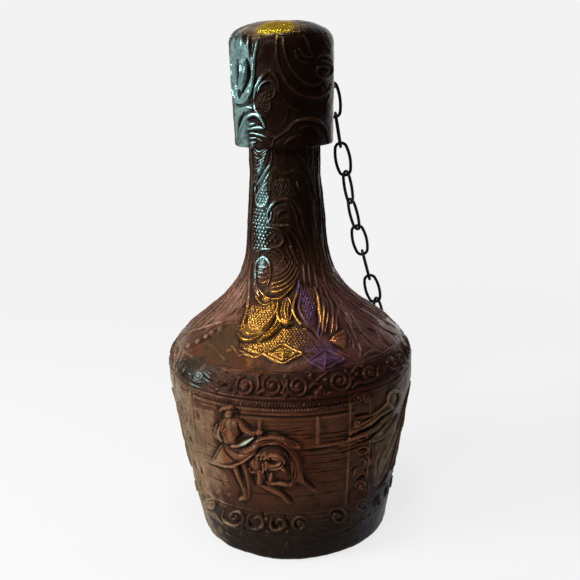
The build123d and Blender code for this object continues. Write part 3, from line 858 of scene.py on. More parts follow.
BRANCH_GROOVES = [
    ("347.8,436.7 357,432.8 368.3,428.3 377,421.7 385,415 394,409.5", 2.3, 1.9),
    ("352,445 362,440.5 371,436.5 379,431 384,424.5", 2.3, 1.8),
    ("341.7,452.8 355,447.5 365,443.5", 1.4, 1.2),
    ("355,415.5 361,414.5 367,413", 1.5, 0.9),
    ("356,424 364,420 372,416", 1.1, 0.8),
    ("397.5,393.5 397.8,399 394.5,405", 1.8, 1.2),
    ("358,451.5 362,449.5 365,449.5", 1.2, 1.0),
    ("352.5,470.5 355,468.5", 1.8, 1.2),
    ("364.5,471 366.5,469", 1.8, 1.2),
    ("357,480 361,476.5 364.5,475.8", 1.5, 1.1),
    ("361,455.5 365,455", 1.5, 1.0),
    ("358,436.8 361.5,437.2 364.5,436.4", 1.0, 0.8),
    ("377,474 377,463 381,453 386,445", 1.3, 1.2),
    ("383,449.5 385.5,446", 1.8, 1.0),
    ("392,436 394,429 396,422", 1.2, 0.9),
    ("380,488 383,485.3 385,483", 1.8, 1.2),
    ("386,462 390,451 393,440", 1.1, 0.7),
]
draw(cord, skin, BRANCH_GROOVES, cut=True)
BRANCH_PEBBLES = [("351,490 357,488 367,490 366,500 352,504", 1.3, 0.6)]
draw(pebbles, skin, BRANCH_PEBBLES)

# Each stretch of tool marks: its two levels, its two azimuths, pitch and height
TOOL_MARKS = [(52, 84, -136, -58, 1.35, 0.30), (32, 52, -132, -60, 1.35, 0.15)]
draw(Skin.tool_marks, skin, TOOL_MARKS)
PLANK_LINES = [
    ("262,434 285,435.5 316,434.5", 0.9, 0.48),
    ("321,434 336,432.5 349,430", 0.9, 0.56),
    ("321,438.5 336,437 349,434.5", 0.8, 0.48),
    ("300,456 322,454.5 348,450", 0.9, 0.48),
    ("304,464 326,462.5 348,458", 0.8, 0.4),
    ("308,473 328,471.5 347,467.5", 0.8, 0.4),
    ("314,483 330,482 346,478", 0.8, 0.32),
    ("205,442 212,446 219,449", 0.9, 0.4),
    ("206,462 214,466 222,469", 0.9, 0.4),
    ("252,492 262,494 272,495", 0.8, 0.32),
    ("294,496 312,495 340,490", 0.8, 0.4),
    ("285,436.5 291,436 298,433.5", 0.9, 0.56),
    ("284,429.5 294,429 304,427.5", 0.8, 0.48),
    ("290,433 300,431 309,430", 0.8, 0.48),
    ("303,439 310,438 317,436.5", 0.8, 0.48),
    ("322,443 336,441 348,437.5", 0.8, 0.48),
    ("305,469 322,468.5 338,466", 0.8, 0.4),
    ("206,454 213,457 221,460", 0.8, 0.4),
    ("209,476 218,480 230,483", 0.8, 0.4),
]
draw(cord, skin, PLANK_LINES, cut=True)

# Figures of the scene: a man in a short embroidered jacket who swings a cape, and a bull that passes under it
MAN_MASSES = [
    ("222,419 228,415.5 236,417 240,421 241,430 240,437 237,444 230,445 224,443 222,436 221,427", 1.5, 3.2),
    ("222,420 219,425 216,432 218,438 222,443 225,440 223,434 224,427", 1.3, 1.6),
    ("237,418 242,421 247,427 253,431 258,431 258,434 252,436 245,433 240,428", 1.3, 1.7),
    ("256.5,432 259,429.5 263,430.5 264,433.5 261,435.5 257,435", 1.5, 1.2),
    ("225,411 227,408.5 231,408 234,410 234.5,414 232,417.5 228,417.5 225.5,415", 1.7, 1.7),
    ("222,409 224,406.5 228,405.5 232,404.5 235,406.5 235,409.5 231,409 227,410 223,411.5", 2.1, 1.3),
    ("223,444 232,446.5 240,449 244,455 240,461 233,465 226,465.5 218,463.5 212.5,461.5 216,454"
     " 219,448", 1.3, 2.6),
    ("231,464 238,463 241,472 245,482 248,492 248,498 244.5,498 242,489 238,480 234,471", 1.2, 1.6),
    ("241,462 246,460 249,472 251,485 251,497 248,498 247,486 244,473", 0.8, 1.6),
    ("239,498 243,494.5 248,495 249,499.5 244,500.5 240,500", 1.2, 1.2),
]
CAPE_MASSES = [
    ("228,446 238,449.5 248,446 255,440 262,435.5 272,433.5 282,434.5 290,439 297,443.5 303,446 296,448"
     " 288,447 281,443.5 272,443 263,445.5 256,451 248,458 240,461.5 232,455", 1.3, 2.6),
    ("281,443 288,444 295,450 300,458 302,468 305,478 313,486 305,485 297,482 292,484 295,475"
     " 294,463 290,453", 1.1, 2.4),
]
BULL_MASSES = [
    ("256,456 262,450 270,448.5 279,449 286,454 291,462 293,472 290,480 281,481 270,482 260,478"
     " 255,468", 0.9, 4.5),
    ("251,459 257,457 262,460 264,466 262,470 256,472 251,468 249,463", 1.2, 2.4),
    ("263,462 268,461 270,466 267,471 263,470", 1.3, 1.4),
    ("256.5,469 263,469 263,478 262.5,484 257.5,484 257,476", 1.3, 1.6),
    ("270,470 275,470 275,479 271,481", 1.1, 1.4),
    ("260,485 268,486 276,488 283,492 288,498 293,503 287,503 281,497 273,493 265,489", 1.2, 1.7),
    ("266,481 276,480 288,481 297,485 290,487 278,486 269,486", 0.8, 1.6),
]
FIGURE_STEEP = 0.6
draw(mass, skin, MAN_MASSES + CAPE_MASSES + BULL_MASSES, FIGURE_STEEP)
FIGURE_CORDS = [
    ("233,445.5 239,445 246,442 254,437", 1.9, 1.9),
    ("226,419 225,427 227,435 230,442", 1.0, 1.75),
    ("231,418 233,426 235,434", 1.0, 1.75),
    ("218,424 216.5,432 219,438", 1.0, 1.5),
    ("213,461.5 220,464 229,465.5 238,463.5 248,458 257,451", 1.1, 1.5),
    ("221,446 217,455 214,460", 0.9, 1.4),
    ("257,440 266,436.5 276,436.5 285,439 293,443", 1.2, 1.6),
    ("262,445 270,443 279,443 287,447 294,455 299,464", 1.1, 1.5),
    ("301,472 304,480 312,487", 1.0, 1.2),
    ("290,455 294,465 295,475 291,484", 1.0, 1.2),
    ("266,456 272,454 279,455 284,459", 1.2, 1.5),
    ("267,465 272,468 279,467 285,463", 1.2, 1.4),
    ("303,446 309,447.5 318,446 330,444 342,442", 1.1, 0.5),
    ("306,486 312,489 318,491", 1.2, 0.5),
    ("271,453.5 277,454 282,456.5 284.5,460.5 283,464", 1.5, 1.7),
    ("266.5,461 271,464 277.5,463.7 281,460.5 277.5,457.5 272.5,456.5", 1.3, 1.8),
    ("281,467 285,469 287,472", 1.2, 1.5),
    ("285,452 290,460 292.5,468 292,478", 1.2, 1.2),
    ("272.5,482.5 282,482 291.5,485", 1.2, 1.2),
    ("284,437.5 292,440.5 300,445.5 292,445.5 286,442", 1.2, 1.7),
    ("263.5,463 264.5,468 263,472", 1.3, 1.8),
    ("272,472.5 271.5,476 270.5,480", 1.5, 1.6),
    ("250,468 252,471 257,472", 1.1, 1.6),
]
FIGURE_ENDS = (0.7, 0.5)
draw(cord, skin, FIGURE_CORDS, FIGURE_ENDS)
FIGURE_GROOVES = [
    ("224,446 228,452 233,457 239,461.5", 1.7, 0.9),
    ("231,448 238,452 246,453 253,450", 1.5, 0.8),
    ("236,440 241,435 248,434 252,436", 1.6, 0.8),
    ("223,430 222,436 224,441", 1.0, 0.8),
    ("239,421 240,428 243,433", 1.0, 0.7),
    ("262,440 270,439 279,440", 1.3, 0.5),
    ("257,452 264,447 273,445.5 282,447 288,453 291,461", 1.8, 0.9),
    ("269,459 274,461 280,460", 1.8, 0.9),
    ("273,464 279,463", 1.3, 0.7),
    ("283,463 287,466", 1.6, 0.9),
    ("264,471 267,476 266,481", 1.6, 0.8),
    ("254,472 254,480 256,486", 1.6, 0.5),
    ("239,466 242,477 245,487", 1.2, 0.8),
    ("233,470 236,478 240,487", 1.6, 0.4),
    ("281,489 287,494 293,500", 1.5, 0.7),
    ("300,450 310,450 322,448.5 340,445.5", 2.4, 0.7),
    ("284,436.5 291,440 298,444.5", 1.2, 0.6),
    ("264,434.5 273,431.5 282,432.5", 1.8, 0.5),
    ("236,408 239,412 240,417", 2.4, 0.7),
    ("242,418 248,424 254,429", 2.0, 0.6),
    ("304,478 309,483 315,487", 1.6, 0.6),
]
draw(cord, skin, FIGURE_GROOVES, cut=True)
FIGURE_BEADS = [
    (224, 408, 0.9, 2.4), (228.5, 406.5, 1.0, 2.5), (232.5, 406, 0.9, 2.4), (259, 431, 0.8, 1.9),
    (262, 432, 0.8, 1.9), (226, 424, 0.6, 1.9), (227.5, 428, 0.6, 1.9), (226, 432, 0.6, 1.9),
    (233, 424, 0.6, 1.9), (234, 429, 0.6, 1.9), (257.5, 455, 0.7, 1.8), (260, 453.3, 0.7, 1.9),
    (262.8, 454, 0.7, 1.9), (265.5, 452.6, 0.7, 1.9), (268, 453.8, 0.7, 1.9), (258.3, 457.7, 0.6, 1.8),
    (262, 457, 0.7, 1.9), (265.6, 456.2, 0.7, 1.9), (269, 457.3, 0.6, 1.9), (254, 461, 0.7, 1.6),
    (284, 468, 0.7, 1.6), (267, 467.5, 0.6, 1.7),
]
draw(boss, skin, FIGURE_BEADS)

# Foot border
FOOT_RINGS = [(30.4, 1.2, 0.35), (28.2, 0.9, 0.2), (16.4, 1.3, 0.25)]
draw(ring, skin, FOOT_RINGS)
FOOT_CURLS = [
    (212, 504, 6, 1.5, 60, 1), (299.5, 524, 8.5, 1.5, 30, 1), (338, 516, 9.5, 1.5, 160, -1),
    (362, 505, 7, 1.5, 60, 1),
]
FOOT_CURL = (1.8, 0.9)
draw(curl, skin, FOOT_CURLS, *FOOT_CURL)
FOOT_SCROLLS = [
    ("224,511 222.5,517 227,523 235,525.5 242,522.5 243.5,516 239,511.5 233,512 230.5,516 234,519.5"
     " 238.5,517.5", 1.9, 1.0),
    ("250,514.5 247.5,520 250,526.5 256,529 262,526 263,520 259,516.5 254.5,518", 2.1, 1.05),
    ("272,518.5 270.5,525 275,530 281,529.5 285,525 283,520 278.5,519.5 276.5,523", 2.1, 1.05),
    ("314,515.5 321,515.5 328,513.5", 1.3, 0.6),
    ("316,520 322,520.5 329,518.5", 1.3, 0.6),
    ("216,514 219,519 224,525", 1.3, 0.6),
]
draw(cord, skin, FOOT_SCROLLS)
FOOT_GROOVES = [
    ("249.5,521.5 252,526 257,526.5", 2.2, 1.1),
    ("273,522.5 275,526.8 280,526.5", 2.2, 1.1),
    ("225,517 229,521 234,522.5 239,520.5", 1.8, 1.0),
    ("295,523 298,526.5 302,526", 1.9, 0.8),
    ("262,512 265,517", 1.6, 0.7),
    ("243.5,527 247,531", 1.5, 0.7),
    ("285,515 288,521 290,528", 1.5, 0.7),
    ("331,513 336,511.5 342,513", 1.6, 0.7),
    ("205,503 207,508 212,510", 1.6, 0.7),
]
draw(cord, skin, FOOT_GROOVES, cut=True)
FOOT_BEADS = [
    (232.5, 515), (236.5, 515.5), (266, 514), (267, 519.5), (268, 531), (287.5, 518), (288, 532),
    (312, 529), (326, 528), (350, 520),
]
FOOT_BEAD = (1.1, 0.8)
draw(boss, skin, FOOT_BEADS, *FOOT_BEAD)
HEEL_LEAVES = [
    "246,537 258,541 270,538", "244,545 258,543 272,546", "300,540 314,537 328,540",
    "296,548 308,545 320,547", "338,536 350,530 360,524", "222,530 234,537 244,540",
]
HEEL_LEAF = (1.2, 0.35)
draw(cord, skin, HEEL_LEAVES, *HEEL_LEAF)
HEEL_STUDS = [("285,542 290,542 290,547 285,547", 0.7, 0.8)]
draw(mass, skin, HEEL_STUDS)


# Ornament of the sides that the photograph doesn't show, by azimuth in degrees and height in mm
def side_curl(piece, azimuth, level, size, turns, start, hand, width, height):
    """A curl placed by azimuth and height"""
    flat = curled(0, 0, size, turns, start, hand)
    row = piece.row_at(level)
    radius = np.interp(row, piece.rows, piece.radius)
    path = np.stack([azimuth + np.degrees(flat[:, 0] / radius), row - flat[:, 1]], axis=1)
    piece.ridge(path, width, height, CURL_ENDS)


def side_stroke(piece, text, width, height):
    """A stroke through places given by azimuth and height"""
    line = smooth(points(text))
    piece.ridge(np.stack([line[:, 0], piece.row_at(line[:, 1])], axis=1), width, height)


SIDE_CURLS = [
    (-27, 99.5, 4.6, 1.7, 60, -1), (-14, 99.8, 4.4, 1.7, 100, 1), (-1, 99.6, 4.6, 1.8, 120, 1),
    (-168, 99.5, 4.4, 1.7, 60, -1), (-150, 99.6, 4.0, 1.6, 100, 1), (-36, 23, 3.4, 1.5, 60, 1),
    (-24, 23.4, 3.6, 1.6, 160, -1), (-12, 23, 3.4, 1.6, 30, 1), (-1, 23.2, 3.6, 1.6, 140, -1),
    (-170, 23, 3.4, 1.5, 60, 1), (-158, 23.3, 3.5, 1.6, 150, -1), (-147, 23, 3.3, 1.5, 60, 1),
]
SIDE_CURL = (1.7, 1.0)
draw(side_curl, skin, SIDE_CURLS, *SIDE_CURL)
SIDE_LEAVES = [
    "-27,36 -22,50 -14,64 -5,74", "-21,35 -15,48 -8,60 0,69", "-14,34 -8,45 -1,56", "-26,58 -19,70 -10,81",
    "-7,34 -3,42 2,50", "-24,44 -19,45 -14,42", "-176,36 -172,50 -166,62 -163,76",
    "-170,35 -166,46 -162,56", "-178,60 -172,72 -168,82",
]
SIDE_LEAF = (1.7, 1.0)
draw(side_stroke, skin, SIDE_LEAVES, *SIDE_LEAF)
SIDE_STRANDS = [
    "-28,136 -24,126 -18,115", "-20,138 -16,127 -10,116 -6,109", "-12,139 -8,126 -3,113",
    "-3,137 -1,125 3,112", "-24,121 -20,113 -15,108", "-174,138 -172,126 -169,112",
    "-166,137 -165,125 -167,111", "-158,136 -158,126 -160,114", "-170,121 -172,112 -176,108",
    "-30,203 -26,180 -31,158 -26,141", "-20,206 -23,184 -18,160 -21,140", "-10,204 -6,182 -11,160 -7,142",
    "0,205 -3,178 2,156 -2,141", "-170,204 -174,180 -169,158 -172,142",
    "-158,204 -154,182 -159,160 -156,143",
]
SIDE_STRAND = (1.5, 0.6)
draw(side_stroke, skin, SIDE_STRANDS, *SIDE_STRAND)


# Finished leather, shared by every skin
def build_mesh(name, verts, count, values, crown=False):
    """A smooth skin from rows of count vertices, with its relief as attributes; crown closes its top"""
    rows = len(verts) // count
    turn = np.arange(count)
    start = np.arange(rows - 1)[:, None] * count
    first, after = start + turn, start + (turn + 1) % count
    quads = np.stack([first, after, after + count, first + count], axis=-1).reshape(-1, 4)
    corners, starts = quads.ravel(), np.arange(0, quads.size, 4)
    if crown:
        last = (rows - 1) * count
        fan = np.stack([last + turn, last + (turn + 1) % count, np.full(count, len(verts))], axis=-1)
        starts = np.concatenate([starts, quads.size + np.arange(0, fan.size, 3)])
        corners = np.concatenate([corners, fan.ravel()])
        verts = np.vstack([verts, verts[last:].mean(axis=0)])
        values = {label: np.append(value.ravel(), value[-1].mean()) for label, value in values.items()}
    mesh = bpy.data.meshes.new(name)
    mesh.vertices.add(len(verts))
    mesh.vertices.foreach_set("co", (verts * MM).astype(np.float32).ravel())
    mesh.loops.add(len(corners))
    mesh.loops.foreach_set("vertex_index", corners.astype(np.int32))
    mesh.polygons.add(len(starts))
    mesh.polygons.foreach_set("loop_start", starts.astype(np.int32))
    mesh.update(calc_edges=True)
    mesh.polygons.foreach_set("use_smooth", np.ones(len(starts), bool))
    for label, value in values.items():
        layer = mesh.attributes.new(label, "FLOAT", "POINT")
        layer.data.foreach_set("value", value.astype(np.float32).ravel())
    mesh.validate()
    piece = bpy.data.objects.new(name, mesh)
    bpy.context.scene.collection.objects.link(piece)
    return piece


# Soft leather: cells that its crests are judged over, and the widths in cells and heights in mm of its lumps
BLUR_CELLS = 7
LUMP_CELLS = (3, 7, 19)
LUMP_HEIGHTS = (0.022, 0.045, 0.10)
# Seam of the jacket: its azimuth in degrees, half width and depth in mm
SEAM_AZIMUTH = -159.0
SEAM_HALF_WIDTH = 0.8
SEAM_DEPTH = 1.3
# How deep the edges of the leather are turned in, and how near the axis its relief fades out, in mm
LEATHER_EDGE = 2.0


def wrap_skin(name, piece, low, high, lips, seed, seam=False, crown=False):
    """The mesh of a skin between two heights, with its relief and a lip that deep turned in at each end"""
    repeats = 360 // piece.repeat
    count = piece.count * repeats
    height = np.tile(piece.total(), (1, repeats))
    for cells, lump in zip(LUMP_CELLS, LUMP_HEIGHTS):
        height += lump * unevenness(*height.shape, cells, seed + cells)
    degrees = np.arange(count) * piece.gap - 180
    if seam:
        away = np.radians(degrees - SEAM_AZIMUTH)[None, :] * piece.radius[:, None]
        height -= SEAM_DEPTH * np.exp(-((away / SEAM_HALF_WIDTH) ** 4))
    hollow = height - blurred(height, BLUR_CELLS)
    azimuth = np.radians(degrees)
    chosen = np.flatnonzero((piece.level >= low) & (piece.level <= high))
    lift, hollow = height[chosen], hollow[chosen]
    rows = []
    outline = (part[chosen] for part in (piece.radius, piece.level, piece.out, piece.up))
    for r, z, out, up, row in zip(*outline, lift):
        reach = r + out * row * min(1, r / LEATHER_EDGE)
        rows.append(np.stack([reach * np.cos(azimuth), reach * np.sin(azimuth), z + up * row], axis=1))
    for end, depth in enumerate(lips):
        if depth:
            edge = rows[-end]
            inward = 1 - depth / np.hypot(edge[:, 0], edge[:, 1]).mean()
            inner = edge * [inward, inward, 1]
            rows.insert(len(rows) if end else 0, inner)
            lift, hollow = (np.concatenate([v, v[-1:]] if end else [v[:1], v]) for v in (lift, hollow))
    return build_mesh(name, np.concatenate(rows), count, {"relief": lift, "crest": hollow}, crown)


# Heights in mm that the pieces of leather end at, and their seeds
FLOOR_LEVEL = 0
JACKET_TOP = 105.6
CAP_SIDE_TOP = 256.85
ABOVE_ALL = 300
JACKET_SEED, NECK_SEED, CAP_SEED = 3, 4, 5
TOP_LIP = (0, LEATHER_EDGE)
FOOT_LIP = (LEATHER_EDGE, 0)
BOTH_LIPS = (LEATHER_EDGE, LEATHER_EDGE)
jacket = wrap_skin("embossed_jacket", skin, FLOOR_LEVEL, JACKET_TOP, TOP_LIP, JACKET_SEED, seam=True)
shoulder = wrap_skin("embossed_shoulder_and_neck", skin, JACKET_TOP, ABOVE_ALL, BOTH_LIPS, NECK_SEED)
cap_skin = wrap_skin("embossed_cap_side", cap, FLOOR_LEVEL, CAP_SIDE_TOP, TOP_LIP, CAP_SEED)
cap_crown = wrap_skin("cap_crown_leather", cap, CAP_SIDE_TOP, ABOVE_ALL, FOOT_LIP, CAP_SEED, crown=True)


# Shader tools
def group(name, inputs, outputs):
    """A new shader node group with named sockets; returns it with its input and output nodes"""
    tree = bpy.data.node_groups.new(name, "ShaderNodeTree")
    for label, kind, value in inputs:
        socket = tree.interface.new_socket(label, in_out="INPUT", socket_type="NodeSocket" + kind)
        if value is not None:
            socket.default_value = value
    for label, kind in outputs:
        tree.interface.new_socket(label, in_out="OUTPUT", socket_type="NodeSocket" + kind)
    return tree, tree.nodes.new("NodeGroupInput"), tree.nodes.new("NodeGroupOutput")


def feed(tree, socket, value):
    """Gives a socket its value: a number, a colour, or another socket to link it to"""
    if isinstance(value, bpy.types.NodeSocket):
        tree.links.new(value, socket)
    else:
        socket.default_value = (*value, 1) if socket.type == "RGBA" else value


def add_node(tree, kind, values=None, **settings):
    """A shader node with its settings and the values of its sockets"""
    node = tree.nodes.new("ShaderNode" + kind)
    for key, value in settings.items():
        setattr(node, key, value)
    for key, value in (values or {}).items():
        feed(tree, node.inputs[key], value)
    return node


def calc(tree, operation, *values):
    """The result of a Math node"""
    return add_node(tree, "Math", dict(enumerate(values)), operation=operation).outputs[0]


def blend(tree, share, first, second):
    """One colour turning into another"""
    return add_node(tree, "Mix", {0: share, 6: first, 7: second}, data_type="RGBA").outputs[2]


def spread(tree, value, low, high, first=0.0, last=1.0):
    """A value stretched from one range to another, smooth at both ends"""
    values = dict(enumerate((value, low, high, first, last)))
    return add_node(tree, "MapRange", values, interpolation_type="SMOOTHSTEP").outputs[0]


def place_group(tree, shared, **values):
    """A shared effect placed in a material; underscores in the names stand for spaces"""
    node = tree.nodes.new("ShaderNodeGroup")
    node.node_tree = shared
    for key, value in values.items():
        feed(tree, node.inputs[key.replace("_", " ")], value)
    return node.outputs


def noise(tree, position, scale, detail, roughness):
    """The height of a Noise node"""
    values = {"Vector": position, "Scale": scale, "Detail": detail, "Roughness": roughness}
    return add_node(tree, "TexNoise", values).outputs[0]


def split(tree, position):
    """The three parts of a position"""
    return add_node(tree, "SeparateXYZ", {0: position}).outputs


def finish_surface(tree, output, values):
    """A Principled surface with these values, put out by a material"""
    shader = add_node(tree, "BsdfPrincipled", values)
    tree.links.new(shader.outputs[0], output.inputs[0])


def shaded(colour, share=0.4):
    """A colour made darker, or lighter with a share above 1"""
    return tuple(share * part for part in colour)


def new_material(name):
    """An empty node material with its output node and an object-space position"""
    material = bpy.data.materials.new(name)
    material.use_nodes = True
    tree = material.node_tree
    tree.nodes.clear()
    return material, tree, add_node(tree, "OutputMaterial"), add_node(tree, "TexCoord").outputs["Object"]


# Effects that several finishes share: a noise has its detail and roughness, and the ragged one its scale
# before them; a range has its start and end
FINE_NOISE = (3.0, 0.6)
BROAD_NOISE = (4.0, 0.62)
PLATE_SHARE = 0.7
MOTTLE_RANGE = (0.32, 0.68)
SPECKLE_RANGE = (0.5, 0.72)
CREST_MOTTLE = 0.12
HOLLOW_START = 0.02
RAGGED_NOISE = (110.0, 5.0, 0.68)
RAGGEDNESS = 1.9
PATCH_RANGE = (1.35, 0.35)
AXIS_GAP = 1e-6


def grain_effect():
    """Fine leather grain: pores between small plates, and a soft mottle"""
    tree, given, result = group(
        "leather_grain",
        [("Position", "Vector", None), ("Plate Scale", "Float", 1400.0), ("Mottle Scale", "Float", 60.0)],
        [("Height", "Float"), ("Mottle", "Float"), ("Speckle", "Float")],
    )
    position, plate_scale = given.outputs["Position"], given.outputs["Plate Scale"]
    plates = add_node(tree, "TexVoronoi", {"Vector": position, "Scale": plate_scale}, feature="SMOOTH_F1")
    fine = noise(tree, position, plate_scale, *FINE_NOISE)
    broad = noise(tree, position, given.outputs["Mottle Scale"], *BROAD_NOISE)
    height = calc(tree, "ADD", calc(tree, "MULTIPLY", plates.outputs["Distance"], PLATE_SHARE), fine)
    tree.links.new(height, result.inputs["Height"])
    tree.links.new(spread(tree, broad, *MOTTLE_RANGE), result.inputs["Mottle"])
    tree.links.new(spread(tree, fine, *SPECKLE_RANGE), result.inputs["Speckle"])
    return tree


def wear_effect():
    """Where the relief is rubbed bright on its crests and where wax and dirt lie in its hollows"""
    tree, given, result = group(
        "crest_and_hollow",
        [("Mottle", "Float", 0.5), ("Crest Start", "Float", 0.05), ("Crest Full", "Float", 0.45),
         ("Hollow Full", "Float", -0.35)],
        [("Worn", "Float"), ("Dirt", "Float")],
    )
    crest = add_node(tree, "Attribute", attribute_name="crest").outputs["Fac"]
    mottle = calc(tree, "SUBTRACT", given.outputs["Mottle"], 0.5)
    uneven = calc(tree, "ADD", crest, calc(tree, "MULTIPLY", mottle, CREST_MOTTLE))
    worn = spread(tree, uneven, given.outputs["Crest Start"], given.outputs["Crest Full"])
    tree.links.new(worn, result.inputs["Worn"])
    dirt = spread(tree, uneven, HOLLOW_START, given.outputs["Hollow Full"])
    tree.links.new(dirt, result.inputs["Dirt"])
    return tree


def patch_effect():
    """A patch mask for tints and for painted sheen, glints and reflections, with a ragged edge round a middle
    height, on one side and on the far side too
    """
    tree, given, result = group(
        "tint_and_sheen_patch",
        [("Position", "Vector", None), ("Side X", "Float", 0.0), ("Side Y", "Float", -1.0),
         ("Reach", "Float", 0.4), ("Middle", "Float", 0.1), ("Half Height", "Float", 0.02)],
        [("Mask", "Float")],
    )
    ragged = noise(tree, given.outputs["Position"], *RAGGED_NOISE)
    shift = calc(tree, "MULTIPLY", calc(tree, "SUBTRACT", ragged, 0.5), RAGGEDNESS)
    place = split(tree, given.outputs["Position"])
    depth = calc(tree, "ADD", calc(tree, "MULTIPLY", place[1], place[1]), AXIS_GAP)
    radius = calc(tree, "SQRT", calc(tree, "ADD", calc(tree, "MULTIPLY", place[0], place[0]), depth))
    across = calc(tree, "SUBTRACT", calc(tree, "MULTIPLY", place[0], given.outputs["Side Y"]),
                  calc(tree, "MULTIPLY", place[1], given.outputs["Side X"]))
    sideways = calc(tree, "ABSOLUTE", calc(tree, "DIVIDE", across, radius))
    sideways = calc(tree, "DIVIDE", sideways, given.outputs["Reach"])
    upright = calc(tree, "SUBTRACT", place[2], given.outputs["Middle"])
    upright = calc(tree, "DIVIDE", upright, given.outputs["Half Height"])
    away = calc(tree, "SQRT", calc(tree, "ADD", calc(tree, "MULTIPLY", sideways, sideways),
                                   calc(tree, "MULTIPLY", upright, upright)))
    tree.links.new(spread(tree, calc(tree, "ADD", away, shift), *PATCH_RANGE), result.inputs["Mask"])
    return tree


leather_grain = grain_effect()
crest_and_hollow = wear_effect()
tint_and_sheen_patch = patch_effect()

# Leather tones and tints, and the colours of painted light: painted sheen, glints and coloured reflections
# laid on as patches
BROWN = (0.050, 0.0175, 0.0082)
WORN_BROWN = (0.096, 0.037, 0.0175)
DIRT = (0.0040, 0.0020, 0.0013)
NIGHT_BROWN = (0.0055, 0.0022, 0.0011)
WORN_NIGHT = (0.014, 0.0052, 0.0026)
# Painted coloured reflection: the gold sheen on the shoulder's front, where a warm lamp above reflects, laid
# on as a metallic patch
GOLD_REFLECTION = (0.31, 0.148, 0.027)
# Painted coloured reflection: the lemon gold on the cap's crown, where a lamp above reflects
LEMON_GOLD_REFLECTION = (0.40, 0.28, 0.013)
# Painted coloured reflection: the teal sheen of a window at the left, on the left of the cap and of the neck
TEAL_REFLECTION = (0.175, 0.30, 0.295)
# Painted coloured reflection: violet light on the right of the shoulder and round the second lozenge
VIOLET_REFLECTION = (0.067, 0.031, 0.103)
# Painted glints: orange highlights on the crests of the shoulder's right leaves
EMBER_GLINT = (0.50, 0.22, 0.06)
# Painted sheen: a purple sheen over the right of the shoulder out to its rim
PLUM_SHEEN = (0.068, 0.0255, 0.0255)
# Painted highlight: the pale green glint on the man's sash
PALE_GREEN_GLINT = (0.30, 0.45, 0.34)
# Painted glints: copper highlights on the flame-shaped leaf tip
COPPER_GLINT = (0.34, 0.115, 0.050)
# Painted reflection: a bluish reflection at the lower right of the body
INDIGO_REFLECTION = (0.010, 0.0115, 0.024)
# Painted sheen: the olive tan of the lit left side, of the panel's right edge and of the crown
OLIVE_SHEEN = (0.115, 0.078, 0.042)
OLIVE_DARK = (0.038, 0.0215, 0.0095)
# Painted sheen: a pinkish sheen on the upper left of the shoulder, on the lit side
PINK_SHEEN = (0.170, 0.085, 0.060)
FOOT_DARK = (0.0048, 0.0038, 0.0030)
BAND_DARK = (0.0110, 0.0115, 0.0090)
# Painted reflection: grey green highlights on the scroll band's left leaf
GREY_GREEN_REFLECTION = (0.150, 0.195, 0.180)
# Painted light: the lighter tan of the panel's lit left part
PANEL_PAINTED_LIGHT_TAN = (0.155, 0.090, 0.050)
CAPE_RED = (0.060, 0.0150, 0.0065)
DARK_RED = (0.021, 0.0050, 0.0027)
BODY_SHINE = 0.10
CAP_SHINE = 0.05
WARM_SHINE = (1.0, 0.72, 0.55)
# Sizes of the leather's plates and mottle, and how far each part of its look blends in
LEATHER_GRAIN = {"Plate_Scale": 1400.0, "Mottle_Scale": 55.0}
MOTTLE_SHARE = 0.65
RAISED_RANGE = (0.8, 1.9, 0.0, 0.8)
RAISED_TONE = 1.5
WORN_SHARE = 0.7
NIGHT_WORN_SHARE = 0.6
DIRT_SHARE = 0.9
# Where the leather turns dark, in mm below and above the height given, and at its foot
NIGHT_BELOW, NIGHT_ABOVE, NIGHT_SHARE = 25, 15, 0.985
FOOT_START, FOOT_FULL, FOOT_SHARE = 56, 10, 0.94
# Patches of tint and of painted sheen, glints and reflections: where a patch starts, how far its crests fill
# it, and how much the mottle breaks its colour
PATCH_EDGE = 0.25
PATCH_CRESTS = 0.65
PATCH_MOTTLE = 0.7
# Roughness of the leather, and what mottle and dirt add to it and the metallic painted sheen takes away
ROUGH = 0.19
MOTTLE_ROUGH, DIRT_ROUGH, SHEEN_SMOOTH = 0.14, 0.3, 0.05
LEATHER_BUMP = {"Strength": 0.5, "Distance": 0.0002}


def patch(tree, position, azimuth, reach, middle, half_height):
    """The mask of a patch that lays a tint, painted sheen, a painted glint or a painted reflection; azimuth
    and reach are in degrees, its middle and half height in mm
    """
    side = math.radians(azimuth)
    return place_group(
        tree, tint_and_sheen_patch, Position=position, Side_X=math.cos(side), Side_Y=math.sin(side),
        Reach=math.sin(math.radians(reach)), Middle=middle * MM, Half_Height=half_height * MM,
    )["Mask"]


